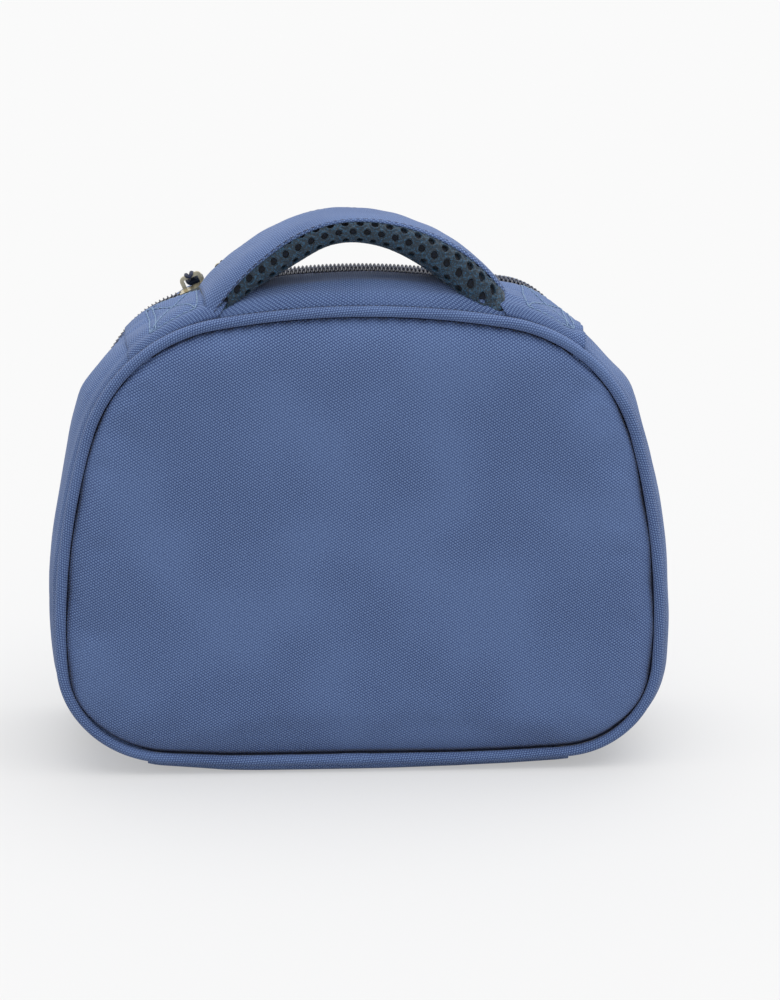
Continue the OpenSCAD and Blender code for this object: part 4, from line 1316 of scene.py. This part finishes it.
cloth_loop = np.vstack([base_face(0), base_face(CLOTH_T)[::-1]])
cloth_piece("base_cloth_strip", base_rows(cloth_loop, BASE_CLOTH_ENDS), oxford_cloth, "case",
            "oxford_base", "base_cloth")
low, high, reach = BASE_FOAM
slab = [(y, low) for y in np.linspace(-reach, reach, 20)]
slab += [(reach + 0.8, (low + high) / 2)] + [(-y, high) for y, _ in slab]
slab += [(-reach - 0.8, (low + high) / 2)]
cloth_piece("base_foam_slab", base_rows(slab, BASE_ENDS), pe_foam, "case", "foam", "base_foam")
low, high, reach = BASE_LINING
film_loop = [(y, low) for y in np.linspace(-reach, reach, 30)]
film_loop += [(-y, high) for y, _ in film_loop]
cloth_piece("base_lining_film", base_rows(film_loop, BASE_ENDS, LINING_CRUMPLE * 0.6), silver_peva,
            "case", "lining", "base_lining")

# Sliders: die-cast zinc, plated a pale nickel gold.
SLIDER_COLOUR = "d8cdac"


def plated_zinc(name, colour):
    """Barrel-plated die casting: bright, faintly uneven metal with a fine tumbled grain."""
    made, tree, shader = new_material(name, Metallic=1.0, Roughness=0.3)
    place = add_node(tree, "ShaderNodeTexCoord").outputs["Object"]
    cloud = add_node(tree, "ShaderNodeTexNoise", {"Vector": place, "Scale": 0.4 / MM, "Detail": 4})
    rough = add_node(tree, "ShaderNodeMapRange", {"Value": cloud.outputs[0], 3: 0.22, 4: 0.42})
    tree.links.new(rough.outputs[0], shader.inputs["Roughness"])
    finish(tree, shader, cloud.outputs[0], tones(colour, 0.8, 1), cloud.outputs[0], 0.3, 0.05)
    return made


nickel_gold = plated_zinc("nickel_gold", SLIDER_COLOUR)
for end, _ in ENDS:
    slots = frame["nodes"]["slider_" + end].data.materials
    slots.clear()
    slots.append(nickel_gold)

# Pulls: a loop of braided cord through each slider's crown, its two ends moulded into a slim
# ribbed grip. Each lies over the zip on the front, and swings about the crown's bar.
PULL_CORD_R = 0.85
PULL_CORD_SIDES = 10
GRIP_START = (8.5, -2.4)
GRIP_END = (30, -8.1)
GRIP_W = 7.4
GRIP_T = 3.2
GRIP_RIBS = 7
GRIP_RIB_H = 0.28
GRIP_RIBBED = (0.2, 0.85)
GRIP_SIDES = 20
PULL_CORD_COLOUR = "1c2744"
GRIP_COLOUR = "20242c"
PULL_LOOP = ((-1.6, 11.5, -3.6), (-1.6, 7.5, -2.3), (-1.4, 3, -0.2), (-1.2, 0.2, 1.0),
             (-0.9, -2, 0.6), (0, -2.9, 0.1), (0.9, -2, 0.6), (1.2, 0.2, 1.0), (1.4, 3, -0.2),
             (1.6, 7.5, -2.3), (1.6, 11.5, -3.6))

pull_braid = tape_material("pull_braid", PULL_CORD_COLOUR)
soft_pvc = plastic("soft_pvc", GRIP_COLOUR, 0.55)
fine = np.linspace(0, len(PULL_LOOP) - 1, 70)
loop = np.column_stack([np.interp(fine, np.arange(len(PULL_LOOP)), line)
                        for line in zip(*PULL_LOOP)])
for _ in range(4):
    loop[1:-1] = (loop[:-2] + 2 * loop[1:-1] + loop[2:]) / 4
braid = 1 + 0.08 * np.cos(np.arange(len(loop)) * 2.1)[:, None, None]

u = np.linspace(0, 1, 60)
middle = np.array(GRIP_START) + np.subtract(GRIP_END, GRIP_START) * u[:, None]
nose = np.sqrt(np.maximum(0, 1 - (2 * u - 1) ** 12))
wide = GRIP_W / 2 * (0.72 + 0.28 * np.sin(math.pi * np.minimum(1, u * 0.9 + 0.1))) * nose
ribbed = (u > GRIP_RIBBED[0]) & (u < GRIP_RIBBED[1])
rib = GRIP_RIB_H * np.cos(2 * math.pi * GRIP_RIBS * u) * ribbed
tall = (GRIP_T / 2 + rib) * nose
across, high = section_point(ring(GRIP_SIDES))
grip = np.stack([across * (wide + 0.02)[:, None], middle[:, :1] + 0 * across,
                 middle[:, 1:] + high * (tall + 0.02)[:, None]], -1)

joints = {joint["name"]: joint for joint in frame["record"]["behaviour"]["joints"]}
for end, _ in ENDS:
    joint = joints[f"pull_{end}_swing"]
    pivot = np.array(joint["pos_m"]) / MM
    along = np.array(joint["axis"], float)
    along *= np.sign(along[0])
    ways = np.array([along, (0, 1, 0), (-along[2], 0, along[0])])
    rows = tube(pivot + loop @ ways, PULL_CORD_R * braid, PULL_CORD_SIDES, (0.0, 0.3, 1.0))
    cloth_piece("pull_loop_" + end, rows, pull_braid, "pull_" + end, "pull_cord",
                "pull_cord_" + end)
    cloth_piece("pull_grip_moulding_" + end, pivot + grip @ ways, soft_pvc, "pull_" + end,
                "pull_grip", "pull_grip_" + end)

# Floor, light and camera: a pale matt floor under even, soft light that comes mostly from above.
FLOOR_SIZE = 8
FLOOR_COLOUR = "b4b4b4"
WORLD_STRENGTH = 0.73
SUN_STRENGTH = 1.7
SUN_SPREAD = 70
SUN_TURN = (3, 8)
FLOOR_GLOW = 0.42
TARGET = Vector((0, 0, 0.102))
CAMERA_DISTANCE = 1.2
CAMERA_YAW = 3.2
CAMERA_ELEVATION = 15
CAMERA_ROLL = 0.42
FOCAL_PX = 2856
IMAGE_W = 780
IMAGE_H = 1000
TARGET_PX = (356.3, 505.2)
SENSOR = 36


def direct_rays(tree):
    """The rays of a shader, and 1 for each that comes from the camera or a glossy surface."""
    rays = add_node(tree, "ShaderNodeLightPath")
    direct = add_node(tree, "ShaderNodeMath", {0: rays.outputs["Is Camera Ray"],
                                               1: rays.outputs["Is Glossy Ray"]},
                      operation="MAXIMUM")
    return rays, direct.outputs[0]


floor_mesh = bpy.data.meshes.new("floor")
h = FLOOR_SIZE / 2
floor_mesh.from_pydata([(-h, -h, 0), (h, -h, 0), (h, h, 0), (-h, h, 0)], [], [(0, 1, 2, 3)])
floor = bpy.data.objects.new("floor", floor_mesh)
bpy.context.scene.collection.objects.link(floor)
floor_paint, tree, shader = new_material("matt_floor", Roughness=0.9)
shader.inputs["Base Color"].default_value = linear(FLOOR_COLOUR)
_, direct = direct_rays(tree)
pale = add_node(tree, "ShaderNodeBsdfDiffuse", {"Color": (0.76, 0.76, 0.76, 1)})
glow = add_node(tree, "ShaderNodeEmission", {"Color": (0.95, 0.95, 0.95, 1)})
seen = add_node(tree, "ShaderNodeMixShader", {0: FLOOR_GLOW, 1: pale.outputs[0],
                                              2: glow.outputs[0]})
either = add_node(tree, "ShaderNodeMixShader", {0: direct, 1: shader.outputs[0],
                                                2: seen.outputs[0]})
tree.links.new(either.outputs[0], tree.nodes["Material Output"].inputs["Surface"])
floor_mesh.materials.append(floor_paint)
floor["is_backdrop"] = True

world = bpy.data.worlds.new("studio")
bpy.context.scene.world = world
world.use_nodes = True
tree = world.node_tree
sky = tree.nodes["Background"]
sky.inputs["Strength"].default_value = WORLD_STRENGTH
seen = add_node(tree, "ShaderNodeBackground", {"Color": (0.947, 0.947, 0.947, 1), "Strength": 1})
rays, direct = direct_rays(tree)
clear = add_node(tree, "ShaderNodeMath", {0: direct, 1: rays.outputs["Is Transmission Ray"]},
                 operation="MAXIMUM")
sky.inputs["Color"].default_value = (1, 1, 1, 1)
mixed = add_node(tree, "ShaderNodeMixShader", {0: clear.outputs[0], 1: sky.outputs[0],
                                               2: seen.outputs[0]})
tree.links.new(mixed.outputs[0], tree.nodes["World Output"].inputs["Surface"])

sun = bpy.data.lights.new("soft_top", "SUN")
sun.energy = SUN_STRENGTH
sun.angle = math.radians(SUN_SPREAD)
lamp = bpy.data.objects.new("soft_top", sun)
lamp.rotation_euler = (math.radians(SUN_TURN[0]), math.radians(SUN_TURN[1]), 0)
bpy.context.scene.collection.objects.link(lamp)

yaw, tilt = math.radians(CAMERA_YAW), math.radians(CAMERA_ELEVATION)
back = Vector((-math.sin(yaw) * math.cos(tilt), -math.cos(yaw) * math.cos(tilt), math.sin(tilt)))
right = Vector((0, 0, 1)).cross(back).normalized()
up = back.cross(right)
step = CAMERA_DISTANCE / FOCAL_PX
aim = (TARGET + right * (IMAGE_W / 2 - TARGET_PX[0]) * step
       + up * (TARGET_PX[1] - IMAGE_H / 2) * step)
camera_data = bpy.data.cameras.new("camera")
camera_data.sensor_fit = "VERTICAL"
camera_data.sensor_height = SENSOR
camera_data.lens = FOCAL_PX * SENSOR / IMAGE_H
camera = bpy.data.objects.new("camera", camera_data)
bpy.context.scene.collection.objects.link(camera)
camera.location = TARGET + back * CAMERA_DISTANCE
look = (aim - camera.location).to_track_quat("-Z", "Y")
camera.rotation_euler = look.to_euler()
camera.rotation_euler.rotate_axis("Z", math.radians(CAMERA_ROLL))
bpy.context.scene.camera = camera
bpy.context.scene.view_settings.view_transform = "Standard"

low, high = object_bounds()
